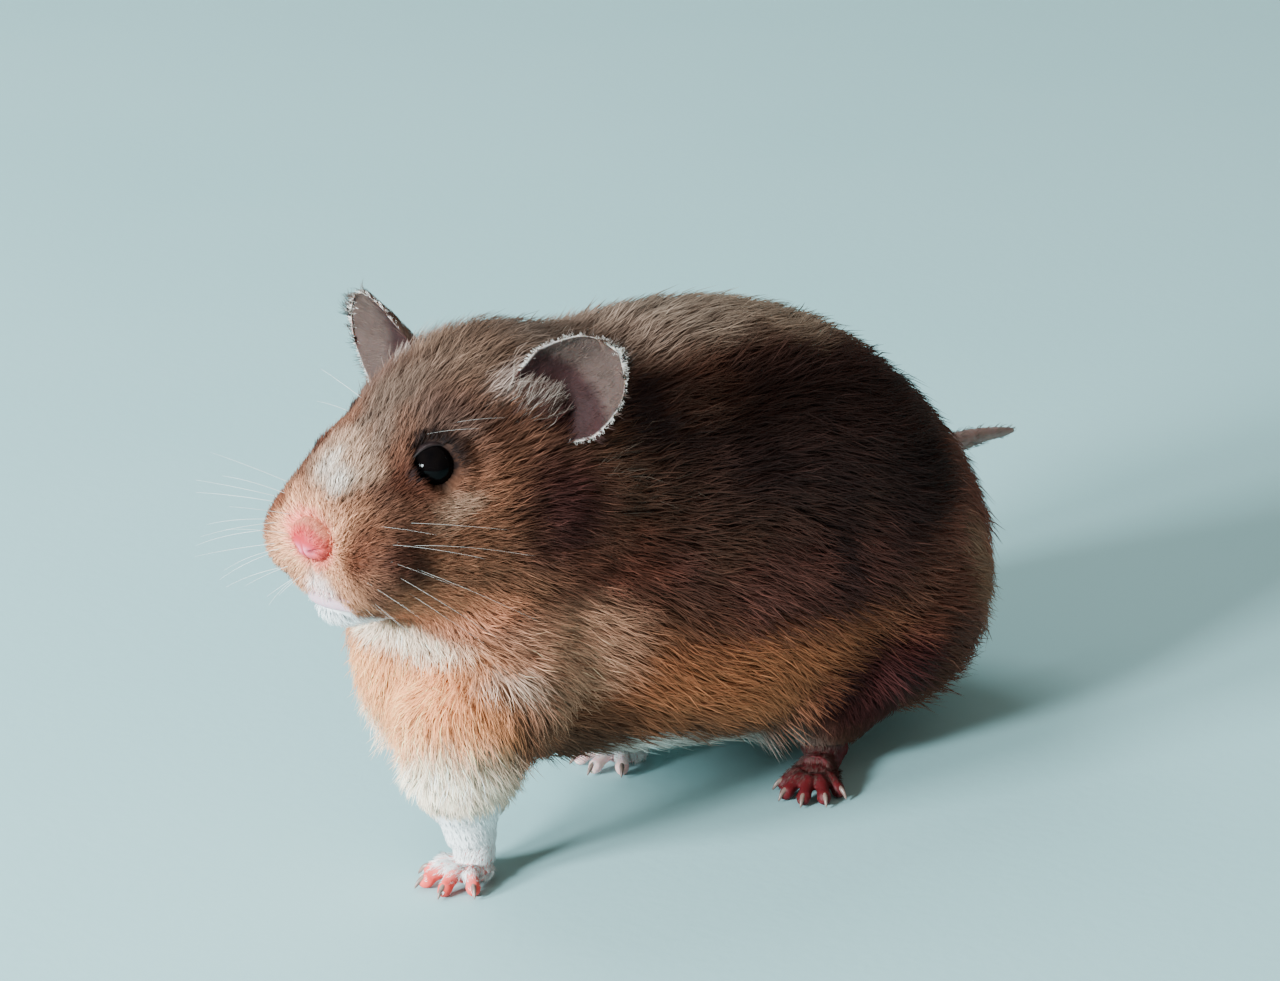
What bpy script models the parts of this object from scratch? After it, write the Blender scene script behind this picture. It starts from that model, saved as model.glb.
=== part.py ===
"""A Syrian hamster in mid-step on all fours, life size, parted into its natural pieces.

The hamster faces -Y, its left side is +X and it stands on the floor at Z = 0.  All places below are
written in millimetres as (left, behind the nose tip, up), and the finished model is scaled to metres
and moved so that the middle of its footprint is the origin.
"""
import math

import bmesh
import bpy
import numpy as np
from mathutils import Matrix, Vector
from mathutils.bvhtree import BVHTree

MM = 0.001
GAP = 0.3

# Cross-sections of the trunk: behind the nose, top, widest level, underside, half width.
TRUNK_SECTIONS = (
    (12.0, 33.0, 28.0, 21.0, 6.5),
    (15.5, 38.0, 27.0, 14.0, 10.5),
    (21.0, 47.0, 27.0, 11.5, 14.5),
    (29.0, 57.0, 29.0, 11.2, 17.5),
    (38.0, 63.2, 30.0, 9.8, 20.5),
    (50.0, 64.3, 29.5, 7.6, 23.0),
    (65.0, 63.8, 28.0, 5.4, 25.0),
    (78.0, 61.0, 26.0, 4.8, 26.0),
    (88.0, 56.8, 24.0, 5.4, 25.8),
    (97.0, 49.8, 22.5, 7.0, 23.5),
    (104.5, 41.0, 21.5, 9.5, 19.5),
    (110.5, 32.5, 21.0, 13.0, 13.0),
    (114.5, 26.0, 21.0, 17.0, 6.0),
)

# Cross-sections of the head, from the muzzle to where it sinks into the neck.
HEAD_SECTIONS = (
    (0.6, 50.5, 46.5, 42.5, 6.0),
    (2.6, 53.6, 46.0, 40.0, 9.2),
    (6.5, 57.0, 45.5, 37.2, 11.6),
    (12.0, 61.2, 44.5, 35.2, 13.1),
    (18.0, 65.0, 43.5, 33.5, 15.4),
    (25.0, 67.6, 42.5, 31.5, 18.0),
    (32.0, 68.3, 41.5, 29.0, 19.4),
    (40.0, 66.4, 40.5, 26.0, 20.2),
    (50.0, 62.5, 39.0, 24.0, 20.0),
    (60.0, 56.0, 38.0, 26.0, 14.0),
)

# Swellings that the sections alone don't give: centre and the three half sizes.
SWELLINGS = {
    "whisker_pad_left": ((7.4, 5.6, 45.0), (5.8, 5.6, 6.2)),
    "whisker_pad_right": ((-7.4, 5.6, 45.0), (5.8, 5.6, 6.2)),
    "chin": ((0.0, 6.4, 38.2), (5.4, 5.0, 4.2)),
    "haunch_left": ((15.0, 87.0, 19.0), (12.0, 18.5, 14.5)),
    "haunch_right": ((-15.0, 89.0, 19.0), (12.0, 17.5, 14.5)),
    "shoulder_left": ((10.0, 24.0, 28.0), (9.5, 11.0, 12.5)),
    "shoulder_right": ((-10.0, 28.0, 28.0), (9.5, 12.5, 12.5)),
}

# Limbs inside the coat: a chain of balls, centre and radius.
LIMBS = {
    "foreleg_left": (((11.5, 22.0, 25.0), 9.5), ((9.3, 16.6, 20.5), 9.3), ((9.2, 16.6, 16.4), 8.2),
                     ((9.7, 17.1, 9.0), 3.7), ((9.9, 17.5, 4.6), 3.5)),
    "foreleg_right": (((-12.0, 35.0, 24.0), 9.0), ((-10.0, 44.0, 15.0), 6.8), ((-6.0, 53.0, 9.0), 5.0),
                      ((-4.0, 57.2, 5.8), 3.9), ((-3.6, 58.2, 4.4), 3.5)),
    "hindleg_left": (((18.0, 82.0, 17.0), 10.0), ((17.6, 75.5, 10.0), 6.4), ((17.6, 73.2, 5.0), 4.0)),
    "hindleg_right": (((-18.0, 93.0, 17.0), 10.0), ((-17.2, 93.0, 10.0), 6.4), ((-17.4, 91.6, 5.0), 4.0)),
}

# Regions that part each leg from the trunk: balls whose hull holds the leg.
LEG_REGIONS = {
    "foreleg_left": (((14.0, 13.0, 19.5), 9.0), ((15.0, 28.0, 20.5), 9.0), ((10.4, 15.0, 12.0), 9.4),
                     ((10.1, 17.5, 4.0), 7.0)),
    "foreleg_right": (((-16.0, 35.0, 20.0), 10.5), ((-13.0, 47.0, 12.0), 10.0), ((-3.8, 58.0, 4.0), 6.6)),
    "hindleg_left": (((22.0, 85.0, 17.0), 13.0), ((20.0, 73.0, 9.0), 9.0), ((17.6, 73.0, 4.0), 6.6)),
    "hindleg_right": (((-22.0, 95.0, 17.0), 13.0), ((-20.0, 91.0, 9.0), 9.0), ((-17.4, 91.4, 4.0), 6.6)),
}
REGION_SIDES = 12

# Flat cuts across the neck, each through a point and square to a direction that points backwards.
NECK_FRONT = ((0.0, 11.0, 33.2), (0.0, 0.766, -0.643))
NECK_BACK = ((0.0, 17.0, 18.0), (0.0, 0.816, -0.578))

# Boxes larger than the whole animal, for the flat cuts at the floor and at the wrists and ankles.
SLAB_MIDDLE = (0.0, 60.0)
SLAB_HALF = (80.0, 120.0, 20.0)
NECK_BOX_HALF = 150.0
WRIST_LEVEL = 4.6

# Feet: where the leg comes down, where the sole lies, and the way the toes point, in degrees to the left.
FOREPAWS = {
    "forepaw_left": {"wrist": (10.1, 17.8), "palm": (10.0, 16.9), "facing": 6.0},
    "forepaw_right": {"wrist": (-3.6, 58.2), "palm": (-3.8, 57.2), "facing": -4.0},
}
HINDFEET = {
    "hindfoot_left": {"ankle": (17.6, 73.2), "heel": (15.8, 77.5), "ball": (20.2, 69.5), "facing": 30.0},
    "hindfoot_right": {"ankle": (-17.4, 91.6), "heel": (-15.8, 96.0), "ball": (-20.0, 87.8), "facing": -28.0},
}
FOREPAW_WRIST_BALLS = ((WRIST_LEVEL + 1.0, 2.7), (2.6, 2.4))
FOREPAW_HEEL_BALL = (2.4, 2.3)
FOREPAW_PALM_BALL = (1.7, 2.0)
FOREPAW_PALM_FORWARD = 0.6
FOREPAW_PAD_HEIGHT = 1.5
FOREPAW_PAD_HALF = (3.2, 2.6, 1.75)
HINDFOOT_ANKLE_BALLS = ((WRIST_LEVEL + 1.0, 3.1), (2.8, 2.7))
HINDFOOT_HEEL_BALL = (1.75, 1.9)
HINDFOOT_SOLE_BALL = (1.9, 2.4)
HINDFOOT_PAD_HEIGHT = 1.6
HINDFOOT_PAD_HALF = (3.3, 3.0, 1.8)
ANKLE_PHASE = 0.1
SOLE_PHASE = 0.3
FOOT_SIDES = 10
PAD_RINGS = 6
PAD_SIDES = 12

# Toes: angle from the foot's own heading in degrees, and length.
FORE_TOES = ((-58.0, 4.4), (-22.0, 5.6), (12.0, 5.8), (48.0, 4.8))
HIND_TOES = ((-54.0, 4.0), (-25.0, 5.8), (0.0, 6.4), (24.0, 6.0), (52.0, 4.4))
TOE_RADIUS = 0.95
TOE_ROOT_SWELL = 1.25
TOE_TIP_SWELL = 0.95
TOE_ROOT_HEIGHT = 1.5
TOE_ROOT_OUT = 0.8
TOE_SINK = 0.12
TOE_SIDES = 6
KNUCKLE_SHARE = 0.48
KNUCKLE_RISE = 0.45
TOE_TIP_SHARE = 0.92
CLAW_LENGTH = 1.4
CLAW_HEIGHT = 0.42
CLAW_ROOT_RISE = 0.15
CLAW_RADII = (0.45, 0.26)
CLAW_SIDES = 5

EYE_RADIUS = 3.25
EYE_PLACE = (7.0, 14.3, 55.3)
EYE_LOOK = (0.86, -0.46, 0.20)
EYE_RINGS = 12
EYE_SIDES = 18
LID_PLANE = 1.9
LID_RADIUS = 0.6

NOSE_PLACE = (0.0, 1.7, 47.6)
NOSE_HALF_SIZES = (3.1, 2.2, 2.5)
NOSTRIL_PLACE = (1.55, -0.35, 47.3)
NOSTRIL_HALF_SIZES = (0.62, 0.9, 0.5)
NOSTRIL_RINGS = 6
NOSTRIL_SIDES = 10

JAW_HALF_SIZES = (7.0, 6.6, 3.2)
JAW_PLACE = (0.0, 5.2, 35.7)
JAW_TILT = math.radians(-14.0)
LIP_RADIUS = 0.8
LIP_TURNS = (-75.0, -50.0, -25.0, 0.0, 25.0, 50.0, 75.0)
LIP_CENTRE_BACK = 2.0
LIP_REACH = 5.0
LIP_RISE = 0.9
LIP_SINK = 0.45
LIP_TAPER = 0.6
LIP_SIDES = 8

# The ear as a leaf: its widest level and half span as shares of its length, how it curls and cups, and how
# far its middle line rises towards the tip.
EAR_LENGTH = 14.8
EAR_HALF_WIDTH = 6.6
EAR_THICKNESS = 0.75
EAR_ROOT_DEPTH = 3.0
EAR_WIDEST = 0.38
EAR_SPAN = 0.66
EAR_ROUNDNESS = 2.0
EAR_ROOT_WIDTH = 0.70
EAR_ROOT_SHARE = 0.45
EAR_SIDE_DROP = 1.6
EAR_RISE = 1.4
EAR_CURL = 3.4
EAR_CURL_FADE = 1.2
EAR_CUP = 1.3
EAR_CUP_LEVEL = 0.3
EAR_ROWS = 10
EAR_COLUMNS = 8
EARS = {
    "ear_left": {"base": (11.0, 30.8, 61.2), "along": (0.84, 0.14, 0.52), "faces": (0.18, -0.95, -0.26)},
    "ear_right": {"base": (-11.4, 29.2, 60.9), "along": (-0.98, 0.03, 0.18), "faces": (-0.05, -0.93, -0.08)},
}

TAIL_BALLS = (((0.0, 107.0, 29.0), 2.6), ((0.0, 115.5, 31.0), 2.1), ((0.2, 122.0, 31.2), 1.4),
              ((0.5, 129.5, 30.4), 0.6))
TAIL_SIDES = 12

SECTION_RINGS = 40
SECTION_SIDES = 44
FULLNESS_ABOVE = 0.90
FULLNESS_BELOW = 0.70
BODY_VOXEL = 0.9
BODY_TRIANGLES = 4700
SOFTENING_FACTOR = 0.5
TRUNK_SOFTENING = 36
LIMB_SOFTENING = 7

COAT_BROWN = (0.30, 0.20, 0.13)
COAT_DARK = (0.13, 0.08, 0.06)
COAT_ORANGE = (0.52, 0.34, 0.22)
CHIN_WHITE = (0.80, 0.74, 0.70)
EAR_GREY_PINK = (0.55, 0.43, 0.41)
SKIN_PINK = (0.80, 0.42, 0.40)
EYE_BLACK = (0.01, 0.01, 0.012)
COAT_ROUGHNESS = 0.9
EAR_ROUGHNESS = 0.8
TAIL_ROUGHNESS = 0.7
PAW_ROUGHNESS = 0.6
NOSE_ROUGHNESS = 0.45
EYE_ROUGHNESS = 0.05


def to_frame(place):
    """(left, behind, up) in millimetres as a point in metres."""
    return Vector(place) * MM


def clear_scene():
    """Empties the scene."""
    for old in list(bpy.data.objects):
        bpy.data.objects.remove(old, do_unlink=True)


def add_object(name, mesh):
    """A new object in the scene."""
    made = bpy.data.objects.new(name, mesh)
    bpy.context.scene.collection.objects.link(made)
    return made


def drop(*spent):
    """Removes objects that have done their work."""
    for item in spent:
        bpy.data.objects.remove(item, do_unlink=True)


def mesh_from_shell(shell, name):
    """A mesh from a bmesh, which is freed."""
    mesh = bpy.data.meshes.new(name)
    shell.to_mesh(mesh)
    shell.free()
    return mesh


def mesh_from(points, faces, name):
    """A mesh of these points, in millimetres, with its faces turned outwards."""
    mesh = bpy.data.meshes.new(name)
    mesh.from_pydata([tuple(point) for point in np.asarray(points, float) * MM], [], faces)
    shell = bmesh.new()
    shell.from_mesh(mesh)
    bpy.data.meshes.remove(mesh)
    bmesh.ops.recalc_face_normals(shell, faces=shell.faces)
    return mesh_from_shell(shell, name)


def smooth_through(values, count):
    """Cubic curve through the rows of values, read at count even steps from row to row."""
    rows = np.asarray(values, float)
    padded = np.vstack((2 * rows[0] - rows[1], rows, 2 * rows[-1] - rows[-2]))
    at = np.linspace(0, len(rows) - 1, count)
    index = np.minimum(at.astype(int), len(rows) - 2)
    t = (at - index)[:, None]
    a, b, c, d = (padded[index + shift] for shift in range(4))
    return 0.5 * (2 * b + (c - a) * t + (2 * a - 5 * b + 4 * c - d) * t**2 + (3 * b - a - 3 * c + d) * t**3)


def sections_mesh(sections, name):
    """A closed body through egg-shaped sections, rounder above and fuller below their widest level."""
    rings, sides = SECTION_RINGS, SECTION_SIDES
    behind, top, wide, low, half = smooth_through(sections, rings).T[:, :, None]
    angle = np.linspace(0, 2 * np.pi, sides, endpoint=False)[None, :]
    fullness = np.where(np.sin(angle) > 0, FULLNESS_ABOVE, FULLNESS_BELOW)
    across = np.sign(np.cos(angle)) * np.abs(np.cos(angle)) ** fullness
    up = np.sign(np.sin(angle)) * np.abs(np.sin(angle)) ** fullness
    x = half * across
    z = wide + np.where(up > 0, (top - wide) * up, (wide - low) * up)
    y = behind + 0 * x
    points = np.stack((x, y, z), axis=-1).reshape(-1, 3)
    faces = []
    for ring in range(rings - 1):
        for side in range(sides):
            following = (side + 1) % sides
            faces.append((ring * sides + side, ring * sides + following,
                          (ring + 1) * sides + following, (ring + 1) * sides + side))
    faces.append(tuple(range(sides)))
    faces.append(tuple(range((rings - 1) * sides, rings * sides)))
    return mesh_from(points, faces, name)


def ball_mesh(centre, half_sizes, name, rings, sides):
    """A closed ellipsoid."""
    shell = bmesh.new()
    bmesh.ops.create_uvsphere(shell, u_segments=sides, v_segments=rings, radius=1.0)
    size = Matrix.Diagonal((*[half * MM for half in half_sizes], 1.0))
    bmesh.ops.transform(shell, matrix=Matrix.Translation(to_frame(centre)) @ size, verts=shell.verts)
    return mesh_from_shell(shell, name)


def hull_mesh(balls, name, sides, extra=0.0, phase=0.0):
    """The hull of a few balls, each a centre and a radius, grown by extra, its corners turned by phase."""
    turn = np.linspace(0, 2 * np.pi, sides, endpoint=False)[None, :] + phase
    tilt = np.linspace(-0.5 * np.pi, 0.5 * np.pi, sides // 2 + 1)[:, None]
    level = np.sin(tilt) + 0 * turn
    ball = np.stack((np.cos(tilt) * np.cos(turn), np.cos(tilt) * np.sin(turn), level), axis=-1)
    ball = np.vstack((ball[1:-1].reshape(-1, 3), [(0, 0, -1), (0, 0, 1)]))
    shell = bmesh.new()
    for centre, radius in balls:
        for point in (np.array(centre) + ball * (radius + extra)) * MM:
            shell.verts.new(point)
    bmesh.ops.convex_hull(shell, input=shell.verts)
    spare = [vertex for vertex in shell.verts if not vertex.link_faces]
    bmesh.ops.delete(shell, geom=spare, context="VERTS")
    bmesh.ops.recalc_face_normals(shell, faces=shell.faces)
    return mesh_from_shell(shell, name)


def box_mesh(centre, half_sizes, name, turn=None):
    """A box, turned about its centre by the matrix turn."""
    shell = bmesh.new()
    bmesh.ops.create_cube(shell, size=2.0)
    size = Matrix.Diagonal((*[half * MM for half in half_sizes], 1.0))
    place = Matrix.Translation(to_frame(centre)) @ (turn or Matrix.Identity(4)) @ size
    bmesh.ops.transform(shell, matrix=place, verts=shell.verts)
    return mesh_from_shell(shell, name)


def applied(target):
    """The object with its modifiers applied to its mesh."""
    graph = bpy.context.evaluated_depsgraph_get()
    mesh = bpy.data.meshes.new_from_object(target.evaluated_get(graph))
    target.modifiers.clear()
    target.data = mesh
    return target


def volume_of(faces):
    """Volume enclosed by a set of faces."""
    total = 0.0
    for face in faces:
        corners = [vertex.co for vertex in face.verts]
        for second, third in zip(corners[1:], corners[2:]):
            total += corners[0].dot(second.cross(third)) / 6.0
    return total


def keep_largest(target):
    """Leaves only the closed surface that holds the most."""
    shell = bmesh.new()
    shell.from_mesh(target.data)
    unseen = set(shell.faces)
    islands = []
    while unseen:
        island = {unseen.pop()}
        waiting = list(island)
        while waiting:
            for edge in waiting.pop().edges:
                for face in edge.link_faces:
                    if face in unseen:
                        unseen.discard(face)
                        island.add(face)
                        waiting.append(face)
        islands.append(island)
    islands.sort(key=volume_of, reverse=True)
    spare = [face for island in islands[1:] for face in island]
    bmesh.ops.delete(shell, geom=spare, context="FACES")
    loose = [vertex for vertex in shell.verts if not vertex.link_faces]
    bmesh.ops.delete(shell, geom=loose, context="VERTS")
    shell.to_mesh(target.data)
    shell.free()
    return target


def combined(target, mesh, operation):
    """The object after a Boolean with one closed mesh."""
    other = add_object("other", mesh)
    cut = target.modifiers.new("cut", "BOOLEAN")
    cut.operation = operation
    cut.solver = "EXACT"
    cut.object = other
    applied(target)
    drop(other)
    return keep_largest(target)


def united(meshes, name):
    """Closed meshes joined into one closed surface."""
    body = add_object(name, meshes[0])
    group = bpy.data.collections.new(name + "_pieces")
    bpy.context.scene.collection.children.link(group)
    others = []
    for mesh in meshes[1:]:
        other = bpy.data.objects.new("piece", mesh)
        group.objects.link(other)
        others.append(other)
    join = body.modifiers.new("join", "BOOLEAN")
    join.operation = "UNION"
    join.solver = "EXACT"
    join.operand_type = "COLLECTION"
    join.collection = group
    applied(body)
    drop(*others)
    bpy.data.collections.remove(group)
    return keep_largest(body)


def chain_meshes(balls, name, sides):
    """A limb along a chain of balls: the hull of each ball and the next."""
    return [hull_mesh(pair, name, sides) for pair in zip(balls, balls[1:])]


def parted(body, name, region, grown_region):
    """Takes the region out of the body as a piece of its own, and leaves the gap round it."""
    piece = add_object(name, body.data.copy())
    combined(piece, region, "INTERSECT")
    combined(body, grown_region, "DIFFERENCE")
    return piece


def blended(meshes, name, softening):
    """Closed meshes grown together into one even surface, with the creases between them softened."""
    shell = bmesh.new()
    for mesh in meshes:
        shell.from_mesh(mesh)
    body = add_object(name, mesh_from_shell(shell, name))
    remesh = body.modifiers.new("even", "REMESH")
    remesh.mode = "VOXEL"
    remesh.voxel_size = BODY_VOXEL * MM
    soften = body.modifiers.new("soften", "SMOOTH")
    soften.factor = SOFTENING_FACTOR
    soften.iterations = softening
    return applied(body)


def flesh_body():
    """The whole body without paws and ears, as one closed surface."""
    trunk = [sections_mesh(TRUNK_SECTIONS, "trunk"), sections_mesh(HEAD_SECTIONS, "skull")]
    for name, (centre, half_sizes) in SWELLINGS.items():
        trunk.append(ball_mesh(centre, half_sizes, name, EYE_RINGS, EYE_SIDES))
    core = blended(trunk, "core", TRUNK_SOFTENING)
    limbs = []
    for name, balls in LIMBS.items():
        limbs += chain_meshes(balls, name, REGION_SIDES)
    body = blended([core.data] + limbs, "body", LIMB_SOFTENING)
    drop(core)
    count = sum(len(face.vertices) - 2 for face in body.data.polygons)
    thin = body.modifiers.new("thin", "DECIMATE")
    thin.ratio = BODY_TRIANGLES / count
    return applied(body)


def behind_plane(plane, name, shift=0.0):
    """All that lies behind a flat cut, as a box whose front face is the cut, moved back by shift."""
    point, direction = plane
    turn = Vector(direction).to_track_quat("Y", "Z").to_matrix().to_4x4()
    centre = Vector(point) + Vector(direction).normalized() * (NECK_BOX_HALF + shift)
    return box_mesh(centre, [NECK_BOX_HALF] * 3, name, turn)


def slab_below(level):
    """All that lies under a level, as a box."""
    return box_mesh((*SLAB_MIDDLE, level - SLAB_HALF[2]), SLAB_HALF, "below")


def slab_above(level):
    """All that lies over a level, as a box."""
    return box_mesh((*SLAB_MIDDLE, level + SLAB_HALF[2]), SLAB_HALF, "above")


def side_of(place, side):
    """A place on the left side (1) or its mirror image on the right (-1)."""
    return (place[0] * side, place[1], place[2])


def ring_mesh(centre, direction, major, minor, name, around=22, sides=6):
    """A closed ring about a direction."""
    turn = np.array(Vector(direction).to_track_quat("Z", "Y").to_matrix())
    a = np.linspace(0, 2 * np.pi, around, endpoint=False)[:, None]
    b = np.linspace(0, 2 * np.pi, sides, endpoint=False)[None, :]
    out = major + minor * np.cos(b)
    points = np.stack((out * np.cos(a), out * np.sin(a), minor * np.sin(b) + 0 * a), axis=-1)
    points = points.reshape(-1, 3) @ turn.T + np.array(centre)
    faces = []
    for i in range(around):
        for j in range(sides):
            faces.append((i * sides + j, ((i + 1) % around) * sides + j,
                          ((i + 1) % around) * sides + (j + 1) % sides, i * sides + (j + 1) % sides))
    return mesh_from(points, faces, name)


def add_lids(head):
    """A low rim round each eye."""
    rim = math.sqrt(EYE_RADIUS**2 - LID_PLANE**2) + 0.5 * LID_RADIUS
    for side in (1, -1):
        look = Vector(side_of(EYE_LOOK, side)).normalized()
        centre = Vector(side_of(EYE_PLACE, side)) + look * LID_PLANE
        combined(head, ring_mesh(centre, look, rim, LID_RADIUS, "lid"), "UNION")


def make_eyes(head):
    """Both eyes, each a ball in its socket."""
    eyes = []
    for side, name in ((1, "eye_left"), (-1, "eye_right")):
        place = side_of(EYE_PLACE, side)
        socket = ball_mesh(place, [EYE_RADIUS + GAP] * 3, "socket", EYE_RINGS, EYE_SIDES)
        combined(head, socket, "DIFFERENCE")
        eyes.append(add_object(name, ball_mesh(place, [EYE_RADIUS] * 3, name, EYE_RINGS, EYE_SIDES)))
    return eyes


def make_nose(head):
    """The nose pad with both nostrils, set into the muzzle."""
    grown = [half + GAP for half in NOSE_HALF_SIZES]
    combined(head, ball_mesh(NOSE_PLACE, grown, "bed", EYE_RINGS, EYE_SIDES), "DIFFERENCE")
    nose = add_object("nose", ball_mesh(NOSE_PLACE, NOSE_HALF_SIZES, "nose", EYE_RINGS, EYE_SIDES))
    for side in (1, -1):
        place = side_of(NOSTRIL_PLACE, side)
        nostril = ball_mesh(place, NOSTRIL_HALF_SIZES, "nostril", NOSTRIL_RINGS, NOSTRIL_SIDES)
        combined(nose, nostril, "DIFFERENCE")
    return nose


def mouth_level(behind):
    """Height of the line of the mouth, which drops towards its corners."""
    top = JAW_PLACE[2] + JAW_HALF_SIZES[2] / math.cos(JAW_TILT)
    return top + (behind - JAW_PLACE[1]) * math.tan(JAW_TILT)


def add_lips(head):
    """A soft bead above and below the line of the mouth, laid on the face."""
    skin = BVHTree.FromPolygons([vertex.co.copy() for vertex in head.data.vertices],
                                [tuple(face.vertices) for face in head.data.polygons])
    centre_back = JAW_PLACE[1] + LIP_CENTRE_BACK
    for above in (1.0, -1.0):
        balls = []
        for turn in LIP_TURNS:
            heading = math.radians(turn)
            way = Vector((math.sin(heading), -math.cos(heading), 0.0))
            level = mouth_level(centre_back - LIP_REACH * math.cos(heading)) + above * LIP_RISE * LIP_RADIUS
            place = skin.ray_cast(to_frame((0.0, centre_back, level)), way)[0]
            radius = LIP_RADIUS * math.cos(LIP_TAPER * heading)
            balls.append((place / MM - way * LIP_SINK * LIP_RADIUS, radius))
        lip = united(chain_meshes(balls, "lip", LIP_SIDES), "lip")
        combined(head, lip.data.copy(), "UNION")
        drop(lip)


def make_jaw(head):
    """The lower jaw, whose top edge against the head is the line of the mouth."""
    turn = Matrix.Rotation(JAW_TILT, 4, "X")
    grown = [half + GAP for half in JAW_HALF_SIZES]
    return parted(head, "lower_jaw", box_mesh(JAW_PLACE, JAW_HALF_SIZES, "jaw", turn),
                  box_mesh(JAW_PLACE, grown, "jaw", turn))


def leaf_sheets(ear):
    """Both faces of the ear's leaf as grids: rows from the root to the rounded tip, columns across."""
    along = Vector(ear["along"]).normalized()
    faces_way = Vector(ear["faces"])
    faces_way = (faces_way - along * faces_way.dot(along)).normalized()
    across = along.cross(faces_way)
    upwards = math.copysign(1.0, across.z)
    t = np.linspace(0, 1, EAR_ROWS)[:, None]
    s = np.linspace(-1, 1, EAR_COLUMNS)[None, :]
    roundness = np.clip(1.0 - (np.abs(t - EAR_WIDEST) / EAR_SPAN) ** EAR_ROUNDNESS, 0, 1)
    root_share = EAR_ROOT_WIDTH + (1.0 - EAR_ROOT_WIDTH) * np.minimum(t / EAR_ROOT_SHARE, 1.0)
    wide = EAR_HALF_WIDTH * np.sqrt(roundness) * root_share * s + upwards * EAR_RISE * t**2
    out = (EAR_LENGTH + EAR_ROOT_DEPTH) * t - EAR_ROOT_DEPTH - EAR_SIDE_DROP * s**2 * t**3
    curl = EAR_CURL * s**2 * (1.0 - t) ** EAR_CURL_FADE + EAR_CUP * np.sin(np.pi * t) * (s**2 - EAR_CUP_LEVEL)
    sheets = []
    for level in (0.5 * EAR_THICKNESS, -0.5 * EAR_THICKNESS):
        points = (np.array(ear["base"]) + out[..., None] * np.array(along)
                  + wide[..., None] * np.array(across) + (curl + level)[..., None] * np.array(faces_way))
        sheets.append(points.reshape(-1, 3))
    return np.vstack(sheets)


def ear_mesh(ear, name):
    """The ear as a thin leaf curled at its base, closed round its border."""
    rows, columns = EAR_ROWS, EAR_COLUMNS
    count = rows * columns
    faces = []
    for row in range(rows - 1):
        for column in range(columns - 1):
            a = row * columns + column
            b, c, d = a + 1, a + columns + 1, a + columns
            faces += [(a, b, c), (a, c, d)]
            faces += [(count + a, count + c, count + b), (count + a, count + d, count + c)]
    border = [(0, column) for column in range(columns)]
    border += [(row, columns - 1) for row in range(1, rows)]
    border += [(rows - 1, column) for column in range(columns - 2, -1, -1)]
    border += [(row, 0) for row in range(rows - 2, 0, -1)]
    for first, second in zip(border, border[1:] + border[:1]):
        a = first[0] * columns + first[1]
        b = second[0] * columns + second[1]
        faces += [(a, count + a, b), (b, count + a, count + b)]
    return mesh_from(leaf_sheets(ear), faces, name)


def grown_skin(body):
    """A copy of the body's surface moved out by the gap, against which what grows from it is cut."""
    copy = add_object("grown_skin", body.data.copy())
    swell = copy.modifiers.new("swell", "DISPLACE")
    swell.mid_level = 0.0
    swell.strength = GAP * MM
    applied(copy)
    mesh = copy.data.copy()
    drop(copy)
    return mesh


def make_ears(skin):
    """Both ears, each meeting the head along its root."""
    ears = []
    for name, ear in EARS.items():
        ears.append(combined(add_object(name, ear_mesh(ear, name)), skin.copy(), "DIFFERENCE"))
    return ears


def make_tail(skin):
    """The short tail, meeting the rump at its root."""
    tail = united(chain_meshes(TAIL_BALLS, "tail", TAIL_SIDES), "tail")
    return combined(tail, skin.copy(), "DIFFERENCE")


def toe_meshes(ball, facing, toes):
    """Toes that fan out from the ball of a foot, each with a small claw."""
    meshes = []
    for spread, length in toes:
        heading = math.radians(facing + spread)
        way = Vector((math.sin(heading), -math.cos(heading), 0.0))
        root = Vector((*ball, TOE_ROOT_HEIGHT)) + way * TOE_ROOT_OUT
        knuckle = root + way * (KNUCKLE_SHARE * length) + Vector((0, 0, KNUCKLE_RISE))
        tip = root + way * (TOE_TIP_SHARE * length)
        tip.z = TOE_RADIUS - TOE_SINK
        claw_root = tip + Vector((0, 0, CLAW_ROOT_RISE))
        claw_tip = tip + way * CLAW_LENGTH
        claw_tip.z = CLAW_HEIGHT
        toe = ((root, TOE_RADIUS * TOE_ROOT_SWELL), (knuckle, TOE_RADIUS), (tip, TOE_RADIUS * TOE_TIP_SWELL))
        claw = ((claw_root, CLAW_RADII[0]), (claw_tip, CLAW_RADII[1]))
        meshes.append(hull_mesh(toe, "toe", TOE_SIDES, phase=-heading))
        meshes.append(hull_mesh(claw, "claw", CLAW_SIDES, phase=-heading))
    return meshes


def foot_cut_flat(meshes, name):
    """A foot from its pieces, flat where it meets the floor and where it meets the leg."""
    foot = united(meshes, name)
    combined(foot, slab_below(0.0), "DIFFERENCE")
    return combined(foot, slab_above(WRIST_LEVEL), "DIFFERENCE")


def make_forepaw(name, paw):
    """A forepaw: wrist, palm and four toes."""
    wrist, palm = paw["wrist"], paw["palm"]
    shank = [((*wrist, level), radius) for level, radius in FOREPAW_WRIST_BALLS]
    level, radius = FOREPAW_HEEL_BALL
    sole = [((*wrist, level), radius)]
    level, radius = FOREPAW_PALM_BALL
    sole.append(((palm[0], palm[1] - FOREPAW_PALM_FORWARD, level), radius))
    meshes = [hull_mesh(shank, name, FOOT_SIDES, phase=ANKLE_PHASE),
              hull_mesh(sole, name, FOOT_SIDES, phase=SOLE_PHASE),
              ball_mesh((*palm, FOREPAW_PAD_HEIGHT), FOREPAW_PAD_HALF, name, PAD_RINGS, PAD_SIDES)]
    meshes += toe_meshes(palm, paw["facing"], FORE_TOES)
    return foot_cut_flat(meshes, name)


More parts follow.
